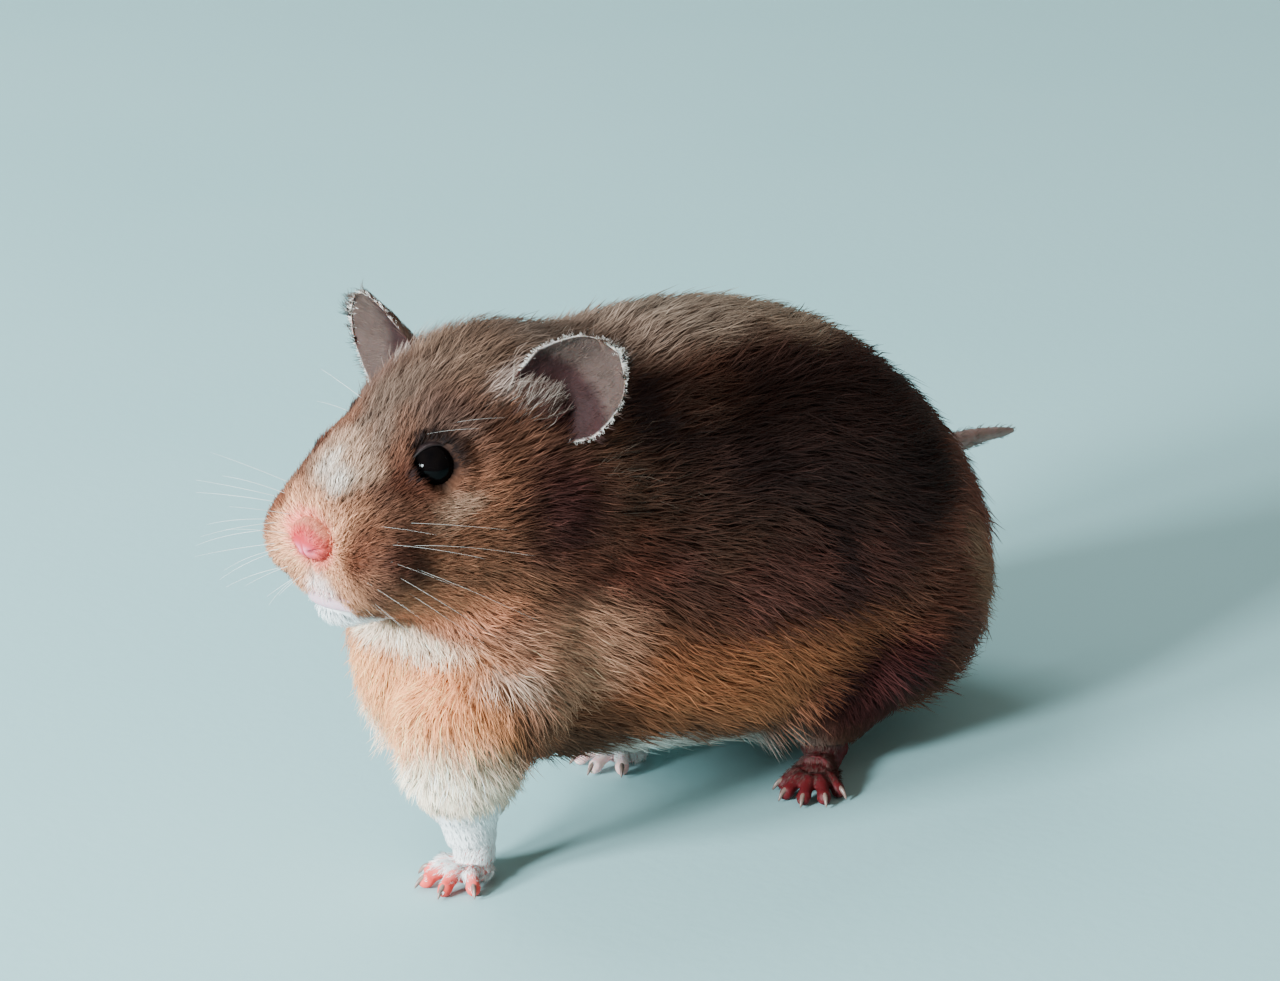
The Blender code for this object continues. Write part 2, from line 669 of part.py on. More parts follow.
def make_hindfoot(name, foot):
    """A hind foot: ankle, sole and five toes."""
    ankle, heel, ball = foot["ankle"], foot["heel"], foot["ball"]
    shank = [((*ankle, level), radius) for level, radius in HINDFOOT_ANKLE_BALLS]
    level, radius = HINDFOOT_HEEL_BALL
    sole = [((*heel, level), radius)]
    level, radius = HINDFOOT_SOLE_BALL
    sole.append(((*ball, level), radius))
    meshes = [hull_mesh(shank, name, FOOT_SIDES, phase=ANKLE_PHASE),
              hull_mesh(sole, name, FOOT_SIDES, phase=SOLE_PHASE),
              ball_mesh((*ball, HINDFOOT_PAD_HEIGHT), HINDFOOT_PAD_HALF, name, PAD_RINGS, PAD_SIDES)]
    meshes += toe_meshes(ball, foot["facing"], HIND_TOES)
    return foot_cut_flat(meshes, name)


def make_leg(body, name, region):
    """A leg, taken out of the body and cut flat above its foot."""
    cut = hull_mesh(region, name, REGION_SIDES)
    leg = parted(body, name, cut, hull_mesh(region, name, REGION_SIDES, GAP))
    return combined(leg, slab_below(WRIST_LEVEL + GAP), "DIFFERENCE")


def finish(target, colour, roughness):
    """Three-cornered faces, smooth shading and the piece's own material."""
    shell = bmesh.new()
    shell.from_mesh(target.data)
    bmesh.ops.triangulate(shell, faces=shell.faces)
    shell.to_mesh(target.data)
    shell.free()
    target.data.shade_smooth()
    material = bpy.data.materials.new(target.name)
    material.use_nodes = True
    shader = material.node_tree.nodes["Principled BSDF"]
    shader.inputs["Base Color"].default_value = (*colour, 1.0)
    shader.inputs["Roughness"].default_value = roughness
    shader.inputs["Metallic"].default_value = 0.0
    target.data.materials.clear()
    target.data.materials.append(material)


def settle(pieces):
    """Moves the whole model so that the middle of its footprint is the origin."""
    points = np.array([vertex.co for piece in pieces for vertex in piece.data.vertices])
    low, high = points.min(axis=0), points.max(axis=0)
    middle = 0.5 * (low + high)
    move = Matrix.Translation((-middle[0], -middle[1], -low[2]))
    for piece in pieces:
        piece.data.transform(move)


def main():
    """Models the body whole, parts it, and adds what grows from it."""
    clear_scene()
    body = flesh_body()
    skin = grown_skin(body)
    pieces = []
    for name, region in LEG_REGIONS.items():
        leg = make_leg(body, name, region)
        pieces.append((leg, COAT_ORANGE if "fore" in name else COAT_DARK, COAT_ROUGHNESS))
    torso = parted(body, "torso", behind_plane(NECK_BACK, "back"), behind_plane(NECK_BACK, "back", -GAP))
    neck = parted(body, "neck", behind_plane(NECK_FRONT, "neck"), behind_plane(NECK_FRONT, "neck", -GAP))
    head = body
    head.name = "head"
    add_lids(head)
    add_lips(head)
    pieces.append((make_jaw(head), CHIN_WHITE, COAT_ROUGHNESS))
    pieces.append((make_nose(head), SKIN_PINK, NOSE_ROUGHNESS))
    pieces += [(eye, EYE_BLACK, EYE_ROUGHNESS) for eye in make_eyes(head)]
    pieces += [(ear, EAR_GREY_PINK, EAR_ROUGHNESS) for ear in make_ears(skin)]
    pieces.append((make_tail(skin), SKIN_PINK, TAIL_ROUGHNESS))
    pieces += [(make_forepaw(name, paw), SKIN_PINK, PAW_ROUGHNESS) for name, paw in FOREPAWS.items()]
    pieces += [(make_hindfoot(name, foot), SKIN_PINK, PAW_ROUGHNESS) for name, foot in HINDFEET.items()]
    pieces += [(piece, COAT_BROWN, COAT_ROUGHNESS) for piece in (head, neck, torso)]
    for piece, colour, roughness in pieces:
        finish(piece, colour, roughness)
    settle([piece for piece, colour, roughness in pieces])


main()
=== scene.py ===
"""The looks of a Syrian hamster in mid-step: skin, coat, head, paws, studio and camera.

All places are written in millimetres in the animal's own frame: x to its left, y behind the tip of the
nose and z up from the floor.  AnimalFrame turns them into the metres of the model.
"""
import logging
import math
from dataclasses import dataclass, field
from enum import Enum

import bpy
import numpy as np
from mathutils import Matrix, Vector
from mathutils.bvhtree import BVHTree


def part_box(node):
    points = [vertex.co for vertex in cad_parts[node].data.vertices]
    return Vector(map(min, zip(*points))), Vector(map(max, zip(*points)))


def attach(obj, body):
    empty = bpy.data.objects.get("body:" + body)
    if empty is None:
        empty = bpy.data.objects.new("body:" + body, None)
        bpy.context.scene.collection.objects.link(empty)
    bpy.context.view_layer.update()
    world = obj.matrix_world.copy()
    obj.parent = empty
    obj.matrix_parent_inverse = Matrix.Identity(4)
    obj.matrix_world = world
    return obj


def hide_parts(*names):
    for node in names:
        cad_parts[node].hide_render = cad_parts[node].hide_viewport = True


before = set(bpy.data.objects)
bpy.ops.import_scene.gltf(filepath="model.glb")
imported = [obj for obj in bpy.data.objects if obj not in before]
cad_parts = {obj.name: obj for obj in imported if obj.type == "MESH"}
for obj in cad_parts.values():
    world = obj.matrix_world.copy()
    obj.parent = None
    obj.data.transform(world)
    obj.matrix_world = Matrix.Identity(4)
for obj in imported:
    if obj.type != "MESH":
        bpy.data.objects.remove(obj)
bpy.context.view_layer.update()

Array = np.ndarray
Piece = bpy.types.Object
Tree = bpy.types.NodeTree
Socket = bpy.types.NodeSocket
Draw = np.random.Generator
Pair = tuple[float, float]
Triple = tuple[float, float, float]

LOG = logging.getLogger("hamster")
MM = 0.001
BODY = "root"
MARKING = "marking"
UNWRAP_EDGE = 0.01
TINY = 1e-9
HALF_TURN = math.pi
FULL_TURN = 2.0 * math.pi
UP = np.array((0.0, 0.0, 1.0))

EYE_PLACE = np.array((7.0, 14.3, 55.3))
EYE_LOOK = np.array((0.86, -0.46, 0.2))
EYE_CORNER = (-0.35, -1.0, -0.55)
EYE_RADIUS = 3.25
NOSE_PLACE = np.array((0.0, 1.3, 47.3))
NOSE_HALF = np.array((3.1, 2.2, 2.5))

# Large primes that scatter the noise's lattice, its seeds and its bits, and where the lattice starts.
CORNER_PRIMES = np.array((73856093, 19349663, 83492791))
SEED_PRIME = 2654435761
BIT_PRIME = 1274126177
HALF_RANGE = 32767.5
LATTICE_START = 1000.5

# Where each leg comes down: x and y of the ankle.
ANKLES = {
    "forepaw_left": (10.1, 17.6),
    "forepaw_right": (-3.7, 57.8),
    "hindfoot_left": (17.6, 73.2),
    "hindfoot_right": (-17.4, 91.6),
}


class Side(Enum):
    """The animal's left or right; the value is the sign of x there."""

    LEFT = 1
    RIGHT = -1

    @property
    def word(self) -> str:
        """The side's name as the nodes write it."""
        return self.name.lower()

    def of(self, place: Triple) -> Array:
        """A place given for the left side, moved to this side."""
        return np.array((place[0] * self.value, place[1], place[2]), float)


@dataclass(frozen=True)
class AnimalFrame:
    """How the animal's own millimetres lie in the model's metres: moved by shift, then scaled."""

    shift: Triple

    @classmethod
    def from_eyes(cls) -> "AnimalFrame":
        """Reads the shift from where the model has the middle of both eyes.

        Returns:
            The frame whose shift puts the middle of the eyes at its place in the model.
        """
        corners = [np.array(corner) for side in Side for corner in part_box("eye_" + side.word)]
        middle = np.mean(corners, axis=0) / MM
        return cls(tuple(middle - np.array((0.0, EYE_PLACE[1], EYE_PLACE[2]))))

    def metres(self, places: Array) -> Array:
        """Millimetres of the animal as metres of the model."""
        return (np.asarray(places, float) + self.shift) * MM

    def millimetres(self, points: Array) -> Array:
        """Metres of the model as millimetres of the animal."""
        return np.asarray(points, float) / MM - self.shift


ANIMAL = AnimalFrame.from_eyes()


def unit(vectors: Array) -> Array:
    """Vectors divided by their own length."""
    return vectors / (np.linalg.norm(vectors, axis=-1, keepdims=True) + TINY)


def dot(first: Array, second: Array) -> Array:
    """Sum of products along the last axis, which is kept."""
    return np.sum(first * second, axis=-1, keepdims=True)


def tangential(vectors: Array, normals: Array) -> Array:
    """Unit vectors along the surface: each vector less its share along the normal."""
    return unit(vectors - normals * dot(vectors, normals))


def turned(vectors: Array, normals: Array, angle: Array) -> Array:
    """Tangent vectors turned about their normals: cosine of the vector plus sine of its cross product."""
    return vectors * np.cos(angle)[..., None] + np.cross(normals, vectors) * np.sin(angle)[..., None]


def ramp(low: float, high: float, value: Array) -> Array:
    """Smooth step from 0 at low to 1 at high: three t squared less two t cubed."""
    t = np.clip((value - low) / (high - low), 0.0, 1.0)
    return t * t * (3.0 - 2.0 * t)


def lattice_noise(places: Array, cell: Triple | float, seed: int) -> Array:
    """Smooth noise: a random value at each corner of a lattice, blended by a smooth step on each axis.

    Args:
        places: Points, one to a row.
        cell: Size of the lattice's cells along each axis, or one size for all.
        seed: Picks the random values.

    Returns:
        One value from -1 to 1 for each point.
    """
    scaled = np.asarray(places, float) / np.array(cell) + LATTICE_START
    low = np.floor(scaled).astype(np.int64)
    share = scaled - low
    share = share * share * (3.0 - 2.0 * share)
    total = np.zeros(len(scaled))
    for corner in np.ndindex(2, 2, 2):
        x, y, z = ((low + np.array(corner)) * CORNER_PRIMES).T
        bits = x ^ y ^ z ^ (seed * SEED_PRIME)
        bits = (bits ^ (bits >> 13)) * BIT_PRIME
        value = ((bits ^ (bits >> 16)) & 0xFFFF) / HALF_RANGE - 1.0
        total += value * np.prod(np.where(np.array(corner) == 1, share, 1.0 - share), axis=1)
    return total


def mixed(first: Array, second: Array, share: Array) -> Array:
    """The first times one less the share, plus the second times the share."""
    return np.asarray(first) * (1.0 - share) + np.asarray(second) * share


def mottled(colour: Array, places: Array, depth: float, cell: float, seed: int) -> Array:
    """A colour made lighter and darker: times the exponential of depth times the noise at each place."""
    return np.asarray(colour) * np.exp(depth * lattice_noise(places, cell, seed))[:, None]


def on_left(places: Array) -> Array:
    """Places with both sides of the animal laid on its left one."""
    return np.column_stack((np.abs(places[:, 0]), places[:, 1:]))


def on_unwrap(share: Array) -> Array:
    """Shares from 0 to 1 as places on an unwrap, drawn in a little from its edges."""
    return UNWRAP_EDGE + (1.0 - 2.0 * UNWRAP_EDGE) * share


def turns_round(count: int) -> Array:
    """Even steps round a full turn."""
    return np.linspace(0.0, FULL_TURN, count, endpoint=False)


def from_spot(places: Array, spot: Triple) -> Array:
    """Distance of each place from one spot."""
    return np.linalg.norm(places - np.array(spot), axis=1)


@dataclass
class Surface:
    """A mesh as whole arrays: points in millimetres, four-sided and three-sided faces."""

    points: Array
    quads: Array = field(default_factory=lambda: np.zeros((0, 4), np.int64))
    triangles: Array = field(default_factory=lambda: np.zeros((0, 3), np.int64))
    colours: Array | None = None
    corner_uvs: Array | None = None
    normals: Array | None = None

    def halves(self) -> Array:
        """All faces as triangles, each quad cut along its first diagonal."""
        cut = (self.quads[:, [0, 1, 2]], self.quads[:, [0, 2, 3]])
        return np.concatenate((*cut, self.triangles))

    def outward(self) -> "Surface":
        """Turns the faces over where the volume that they enclose comes out negative."""
        a, b, c = (self.points[self.halves()[:, k]] for k in range(3))
        if np.sum(a * np.cross(b, c)) < 0.0:
            self.quads = self.quads[:, ::-1]
            self.triangles = self.triangles[:, ::-1]
        return self

    @staticmethod
    def joined(parts: list["Surface"]) -> "Surface":
        """Several surfaces as one, each part's faces counted on from the points before it.

        Args:
            parts: The surfaces; either all or none carry colours, and those with patches are all triangles.

        Returns:
            One surface with all their points and faces.
        """
        def stacked(name: str) -> Array | None:
            """One kind of the parts' values on end, or nothing where they have none."""
            values = [getattr(part, name) for part in parts]
            return None if values[0] is None else np.concatenate(values)

        starts = np.cumsum([0] + [len(part.points) for part in parts[:-1]])
        faces = [np.concatenate([getattr(part, kind) + start for part, start in zip(parts, starts)])
                 for kind in ("quads", "triangles")]
        return Surface(stacked("points"), *faces, stacked("colours"), stacked("corner_uvs"),
                       stacked("normals"))

    def to_object(self, name: str) -> Piece:
        """Writes the arrays into a mesh object at the origin, shaded smooth.

        Args:
            name: The piece's name.

        Returns:
            The new object, linked to the scene.
        """
        mesh = bpy.data.meshes.new(name)
        corners = np.concatenate((self.quads.ravel(), self.triangles.ravel())).astype(np.int32)
        counts = np.concatenate((np.full(len(self.quads), 4), np.full(len(self.triangles), 3)))
        starts = (np.cumsum(counts) - counts).astype(np.int32)
        mesh.vertices.add(len(self.points))
        mesh.vertices.foreach_set("co", ANIMAL.metres(self.points).astype(np.float32).ravel())
        mesh.loops.add(len(corners))
        mesh.loops.foreach_set("vertex_index", corners)
        mesh.polygons.add(len(starts))
        mesh.polygons.foreach_set("loop_start", starts)
        mesh.update(calc_edges=True)
        if self.corner_uvs is not None:
            layer = mesh.uv_layers.new(name="OFBake")
            layer.uv.foreach_set("vector", self.corner_uvs.astype(np.float32).ravel())
        if self.colours is not None:
            paint(mesh, self.colours)
        mesh.shade_smooth()
        if self.normals is not None:
            mesh.normals_split_custom_set_from_vertices(self.normals.astype(np.float32))
        made = bpy.data.objects.new(name, mesh)
        bpy.context.scene.collection.objects.link(made)
        return made


def paint(mesh: bpy.types.Mesh, colours: Array) -> None:
    """Stores one colour for each vertex under the name marking.

    Args:
        mesh: The mesh that takes the colours.
        colours: Linear red, green and blue, one row to a vertex.
    """
    layer = mesh.color_attributes.new(MARKING, "FLOAT_COLOR", "POINT")
    opaque = np.concatenate((np.clip(colours, 0.0, 1.0), np.ones((len(colours), 1))), axis=1)
    layer.data.foreach_set("color", opaque.astype(np.float32).ravel())


def grid(points: Array, wrap_rows: bool = False) -> Surface:
    """Faces over a grid of points whose columns run round.

    Args:
        points: Array of rows by columns by three.
        wrap_rows: Joins the last row to the first, as on a ring; otherwise a fan closes either end.

    Returns:
        The closed surface, facing outwards.
    """
    rows, columns = points.shape[:2]
    row = np.arange(rows if wrap_rows else rows - 1)[:, None]
    column = np.arange(columns)[None, :]
    following = (column + 1) % columns
    below = (row + 1) % rows
    quads = np.stack((row * columns + column, row * columns + following,
                      below * columns + following, below * columns + column), axis=-1).reshape(-1, 4)
    flat = points.reshape(-1, 3)
    if wrap_rows:
        return Surface(flat, quads).outward()
    count = rows * columns
    last = (rows - 1) * columns
    around, after = column[0], following[0]
    first_fan = np.stack((after, around, np.full(columns, count)), axis=-1)
    last_fan = np.stack((last + around, last + after, np.full(columns, count + 1)), axis=-1)
    flat = np.concatenate((flat, [points[0].mean(axis=0), points[-1].mean(axis=0)]))
    return Surface(flat, quads, np.concatenate((first_fan, last_fan))).outward()


def tube(path: Array, radii: Array, sides: int, flat: float = 1.0) -> Surface:
    """A round profile carried along a path: at each point a circle square to the path, of that radius.

    Args:
        path: Points along the middle.
        radii: The radius at each point.
        sides: Points round the profile.
        flat: Height of the profile as a share of its width.

    Returns:
        The closed tube.
    """
    path = np.asarray(path, float)
    along = unit(np.gradient(path, axis=0))
    guide = UP if abs(along[:, 2]).mean() < 0.8 else np.array((0.0, 1.0, 0.0))
    across = unit(np.cross(along, guide))
    up = np.cross(across, along)
    turn = turns_round(sides)[None, :, None]
    ring = across[:, None] * np.cos(turn) + up[:, None] * np.sin(turn) * flat
    return grid(path[:, None] + ring * np.asarray(radii, float)[:, None, None])


def ball(centre: Array, half: Triple, rows: int, columns: int) -> Surface:
    """An ellipsoid: the sines and cosines of latitude and longitude times its half sizes."""
    tilt = np.linspace(-0.5 * HALF_TURN, 0.5 * HALF_TURN, rows + 2)[1:-1, None]
    turn = turns_round(columns)[None, :]
    out = np.cos(tilt)
    shell = np.stack((out * np.cos(turn), out * np.sin(turn), np.sin(tilt) + 0 * turn), axis=-1)
    return grid(np.asarray(centre, float) + shell * np.array(half))


def curve_through(knots: Array, count: int) -> Array:
    """A cubic curve through the knots, read at even steps from knot to knot.

    Args:
        knots: Rows of values that the curve passes through.
        count: How many rows to return.

    Returns:
        The rows along the curve.
    """
    rows = np.asarray(knots, float)
    padded = np.vstack((2 * rows[0] - rows[1], rows, 2 * rows[-1] - rows[-2]))
    at = np.linspace(0, len(rows) - 1, count)
    index = np.minimum(at.astype(int), len(rows) - 2)
    t = (at - index)[:, None]
    a, b, c, d = (padded[index + step] for step in range(4))
    return 0.5 * (2 * b + (c - a) * t + (2 * a - 5 * b + 4 * c - d) * t**2 + (3 * b - a - 3 * c + d) * t**3)


@dataclass
class Hide:
    """A skin that hair can grow on: points, normals, triangles and how the normal bends over it."""

    points: Array
    triangles: Array
    normals: Array
    bend: Array

    @classmethod
    def of(cls, points: Array, triangles: Array) -> "Hide":
        """Works out the normals, and from their change over each triangle the bend of the surface.

        The bend is the matrix that turns a step along the surface into the change of the normal.  On a
        triangle it takes both edges to the differences of the normals at their ends, the normal to nothing.

        Args:
            points: The vertices, in millimetres.
            triangles: Indices of each triangle's corners.

        Returns:
            The hide with smooth values at its vertices.
        """
        a, b, c = (points[triangles[:, k]] for k in range(3))
        face = np.cross(b - a, c - a)
        normals = unit(cls.gathered(face, triangles, len(points)))
        steps = np.stack((b - a, c - a, unit(face)), axis=-1)
        na, nb, nc = (normals[triangles[:, k]] for k in range(3))
        changes = np.stack((nb - na, nc - na, 0.0 * na), axis=-1)
        thick = np.abs(np.linalg.det(steps)) > 1e-6
        bend = np.zeros((len(triangles), 3, 3))
        bend[thick] = changes[thick] @ np.linalg.inv(steps[thick])
        area = np.linalg.norm(face, axis=1, keepdims=True)
        spread = cls.gathered(bend.reshape(-1, 9) * area, triangles, len(points))
        spread /= cls.gathered(area, triangles, len(points)) + TINY
        return cls(points, triangles, normals, spread.reshape(-1, 3, 3))

    @staticmethod
    def gathered(values: Array, triangles: Array, count: int) -> Array:
        """Sum over each vertex of the values of the triangles round it."""
        corners = triangles.ravel()
        spread = np.repeat(values, 3, axis=0)
        return np.stack([np.bincount(corners, column, count) for column in spread.T], axis=-1)

    def scattered(self, density: Array, count: int, rng: Draw) -> "Roots":
        """Picks places on the hide, as many to the square millimetre as the density says.

        A running sum of area times density is read at evenly spaced, slightly shaken levels.

        Args:
            density: Relative density at each vertex.
            count: How many places to pick.
            rng: The seeded draw.

        Returns:
            The places with their normals and bends.
        """
        a, b, c = (self.points[self.triangles[:, k]] for k in range(3))
        area = np.linalg.norm(np.cross(b - a, c - a), axis=1)
        running = np.cumsum(area * density[self.triangles].mean(axis=1))
        level = (np.arange(count) + rng.random(count)) / count * running[-1]
        chosen = self.triangles[np.searchsorted(running, level)]
        first, second = np.sqrt(rng.random(count)), rng.random(count)
        shares = np.stack((1.0 - first, first * (1.0 - second), first * second), axis=-1)
        place = np.einsum("nk,nkd->nd", shares, self.points[chosen])
        normal = unit(np.einsum("nk,nkd->nd", shares, self.normals[chosen]))
        bend = np.einsum("nk,nkde->nde", shares, self.bend[chosen])
        return Roots(place, normal, np.clip(bend, -0.3, 0.3))


@dataclass
class Roots:
    """Places where tufts grow, with the normal and the bend of the skin there."""

    place: Array
    normal: Array
    bend: Array

    def kept(self, chosen: Array) -> "Roots":
        """Only the chosen places."""
        return Roots(self.place[chosen], self.normal[chosen], self.bend[chosen])


@dataclass(frozen=True)
class Marking:
    """A soft-edged patch of colour: full inside an ellipsoid's core and gone at its surface."""

    name: str
    centre: Triple
    half: Triple
    colour: Triple
    strength: float = 1.0
    core: float = 0.35

    def weight(self, folded: Array) -> Array:
        """How strongly the patch colours each place, from 0 to its strength.

        Args:
            folded: Places with both sides of the animal laid on the left one.

        Returns:
            One weight for each place.
        """
        reach = np.linalg.norm((folded - np.array(self.centre)) / np.array(self.half), axis=1)
        return self.strength * ramp(1.0, self.core, reach)


@dataclass(frozen=True)
class CoatColours:
    """The coat's markings, with a few patches of painted light and shade among them, laid one over another
    on a ground colour, the same on skin and hair.
    """

    ground: Triple = (0.12, 0.05, 0.03)
    border_wander: float = 1.8
    border_cell: Triple = (4.5, 7.0, 4.5)
    streak_cell: Triple = (1.6, 7.0, 1.8)
    streak_depth: float = 0.26
    cloud_cell: Triple = (7.0, 12.0, 6.0)
    cloud_depth: float = 0.26
    pale_red: Pair = (0.25, 0.6)
    pale_calm: float = 0.75
    markings: tuple[Marking, ...] = (
        Marking("belly", (0, 52, 4), (26, 52, 12.5), (0.86, 0.76, 0.68)),
        Marking("flank_low", (25, 48, 24), (15, 38, 14.5), (0.43, 0.135, 0.058)),
        Marking("flank_mid", (25, 62, 34), (14, 34, 11), (0.105, 0.034, 0.025)),
        Marking("rump", (18, 98, 28), (22, 26, 26), (0.165, 0.052, 0.034)),
        # Painted light: a lighter band along the rump's edge stands for light falling on it from behind and
        # below.
        Marking("rump_edge_painted_light", (24, 96, 27), (8, 9, 13), (0.29, 0.15, 0.088), 0.8),
        Marking("thigh", (24, 74, 15), (11, 16.5, 13), (0.044, 0.01, 0.009)),
        Marking("saddle", (18, 68, 50), (20, 42, 16), (0.04, 0.018, 0.015)),
        Marking("rump_dark", (24, 81, 40), (11, 12, 10), (0.018, 0.008, 0.008), 0.85),
        Marking("spine", (0, 64, 66), (17.5, 46, 12), (0.245, 0.18, 0.136)),
        # Partly the back's own brown and partly painted light: the top of the back is made paler where it
        # catches light.
        Marking("back_top_partly_painted_light", (3, 78, 60.5), (13, 19, 9), (0.32, 0.24, 0.178), 0.85),
        Marking("behind_neck", (6, 46, 65), (12, 12, 8), (0.21, 0.14, 0.105)),
        Marking("stripe_front", (20.5, 54, 49), (6, 6, 7.5), (0.018, 0.008, 0.007), 0.75),
        Marking("stripe_back", (24.5, 67, 38), (7, 4.5, 13), (0.02, 0.009, 0.009), 0.8),
        Marking("crown", (0, 27, 68), (17, 22, 14), (0.112, 0.066, 0.045)),
        Marking("crown_back", (3, 35, 67.5), (10, 8, 6), (0.2, 0.15, 0.12), 0.8),
        Marking("cheek", (15, 17, 46), (13, 15, 12), (0.245, 0.098, 0.054)),
        Marking("cheek_back", (18, 24.5, 49.5), (8.5, 10.5, 9.5), (0.055, 0.017, 0.014), 1, 0.45),
        Marking("shoulder", (20, 33, 39.5), (10, 12, 9), (0.115, 0.034, 0.021)),
        Marking("behind_ear", (16, 43, 57), (9, 11, 8.5), (0.025, 0.012, 0.012)),
        # Painted light: a lighter patch behind the neck lifts the shadow that the head casts there.
        Marking("saddle_painted_light", (15.5, 47.5, 57.5), (6.5, 7, 5.5), (0.105, 0.051, 0.037), 0.85),
        Marking("shoulder_low", (18, 26, 31), (13, 14, 9), (0.53, 0.245, 0.15)),
        Marking("flank_dark", (22, 42, 39.5), (7, 8, 7.5), (0.052, 0.016, 0.014), 0.8),
        Marking("chest", (6, 12, 22), (17, 13, 15), (0.8, 0.3, 0.125)),
        Marking("forearm", (11, 13.5, 15), (12, 11, 10.5), (1, 0.745, 0.56)),
        Marking("white_wrist", (10, 17, 6), (9, 9, 6.2), (1, 0.99, 0.985), 1, 0.75),
        Marking("white_far_wrist", (4, 57, 4), (7, 7, 6.5), (1, 0.98, 0.97), 1, 0.75),
        Marking("belly_edge", (14, 41.5, 12.4), (6, 9, 3.2), (0.92, 0.8, 0.72), 0.85),
        Marking("low_cheek", (11, 12, 38.5), (11, 12, 6), (0.42, 0.155, 0.082)),
        Marking("brow", (7.4, 16.4, 60.4), (5, 6, 4), (0.1, 0.053, 0.039)),
        Marking("forehead", (0, 14, 61.5), (7, 10, 7), (0.125, 0.078, 0.057)),
        Marking("eye_front", (7.4, 8.4, 54.6), (3.4, 4, 4.5), (0.068, 0.019, 0.01), 0.8),
        Marking("whisker_rows", (12, 5.6, 46.4), (5, 4.2, 5.2), (0.062, 0.021, 0.014), 0.85),
        Marking("muzzle", (0, 1.5, 46.5), (12, 6, 10), (0.62, 0.27, 0.145)),
        # Partly the fur's own brown and partly painted shade: darker beside the nose pad, on both sides.
        Marking("muzzle_side_partly_painted_shade", (8, 1.6, 48), (3.9, 3.4, 5), (0.1, 0.027, 0.013), 0.9),
        Marking("bridge", (0, 5.6, 55.2), (7.2, 5.4, 5.2), (0.38, 0.235, 0.16), 0.8),
        # Painted sheen: a pale patch on the bridge of the snout stands for light glancing off shiny hair.
        Marking("snout_painted_sheen", (1.4, 3.8, 54.4), (2.6, 3.2, 2.4), (0.78, 0.69, 0.61), 0.65, 0.1),
        Marking("snout_streak", (2.2, 8.6, 58.2), (2.6, 4.5, 2.6), (0.14, 0.098, 0.075), 0.6, 0.2),
        Marking("nose_blush", (0, 0, 47.4), (5.4, 4.6, 4.7), (0.8, 0.15, 0.12), 0.95, 0.5),
        Marking("lip_white", (0, 0.5, 42), (5, 4, 2.8), (0.98, 0.74, 0.73), 0.85),
        Marking("chin_white", (0, 4.5, 36.5), (6.5, 7, 4.2), (0.98, 0.96, 0.96), 1, 0.6),
        Marking("jaw_white", (4.5, 13, 32), (9, 8, 2.6), (0.7, 0.51, 0.38), 0.9),
        Marking("fringe", (17, 16.8, 28), (5, 6, 1.6), (0.56, 0.37, 0.28), 0.75),
        # Painted shade: darker coat at the front of the ear's base, where the fold of the cup lies in
        # shade.
        Marking("ear_fold", (13.2, 27.8, 60.2), (5, 4.8, 5.4), (0.046, 0.016, 0.017), 1, 0.5),
        Marking("ear_front", (10.2, 24.4, 63.6), (5, 4.8, 4.4), (0.44, 0.33, 0.285), 0.85),
        Marking("ear_tuft", (8.2, 28.4, 66.6), (3.2, 3.2, 3), (0.5, 0.41, 0.37), 0.7),
        Marking("under_eye", (11.4, 12, 51.4), (3.6, 4.4, 2.4), (0.4, 0.235, 0.16), 0.7),
    )
    crisp: tuple[Marking, ...] = (
        Marking("eye_ring", (7, 14.3, 55.3), (4.5, 4.6, 4), (0.007, 0.0045, 0.005), 0.94, 0.82),
        Marking("eye_corner", (8.75, 9.6, 54.9), (1.5, 2.2, 1.1), (0.007, 0.004, 0.005), 0.97, 0.5),
    )

    @staticmethod
    def laid(colour: Array, markings: tuple[Marking, ...], folded: Array) -> Array:
        """The colour with each marking in turn mixed in by its weight."""
        for marking in markings:
            colour = mixed(colour, marking.colour, marking.weight(folded)[:, None])
        return colour

    def at(self, places: Array) -> Array:
        """The coat's colour at each place.

        The sides are folded together, the borders are shaken by noise, and the markings are laid on.
        Streaks drawn out along the body and soft clouds then make it lighter or darker, less so where it
        is pale, and the crisp markings come last, unshaken.

        Args:
            places: Points in millimetres.

        Returns:
            Linear red, green and blue, one row to a place.
        """
        shaken = np.stack([lattice_noise(places, self.border_cell, seed) for seed in (11, 12, 13)], axis=-1)
        ground = np.tile(np.array(self.ground), (len(places), 1))
        colour = self.laid(ground, self.markings, on_left(places + self.border_wander * shaken))
        streak = self.streak_depth * lattice_noise(places, self.streak_cell, 21)
        cloud = self.cloud_depth * lattice_noise(places, self.cloud_cell, 22)
        lively = 1.0 - self.pale_calm * ramp(*self.pale_red, colour[:, 0])
        return self.laid(colour * np.exp((streak + cloud) * lively)[:, None], self.crisp, on_left(places))


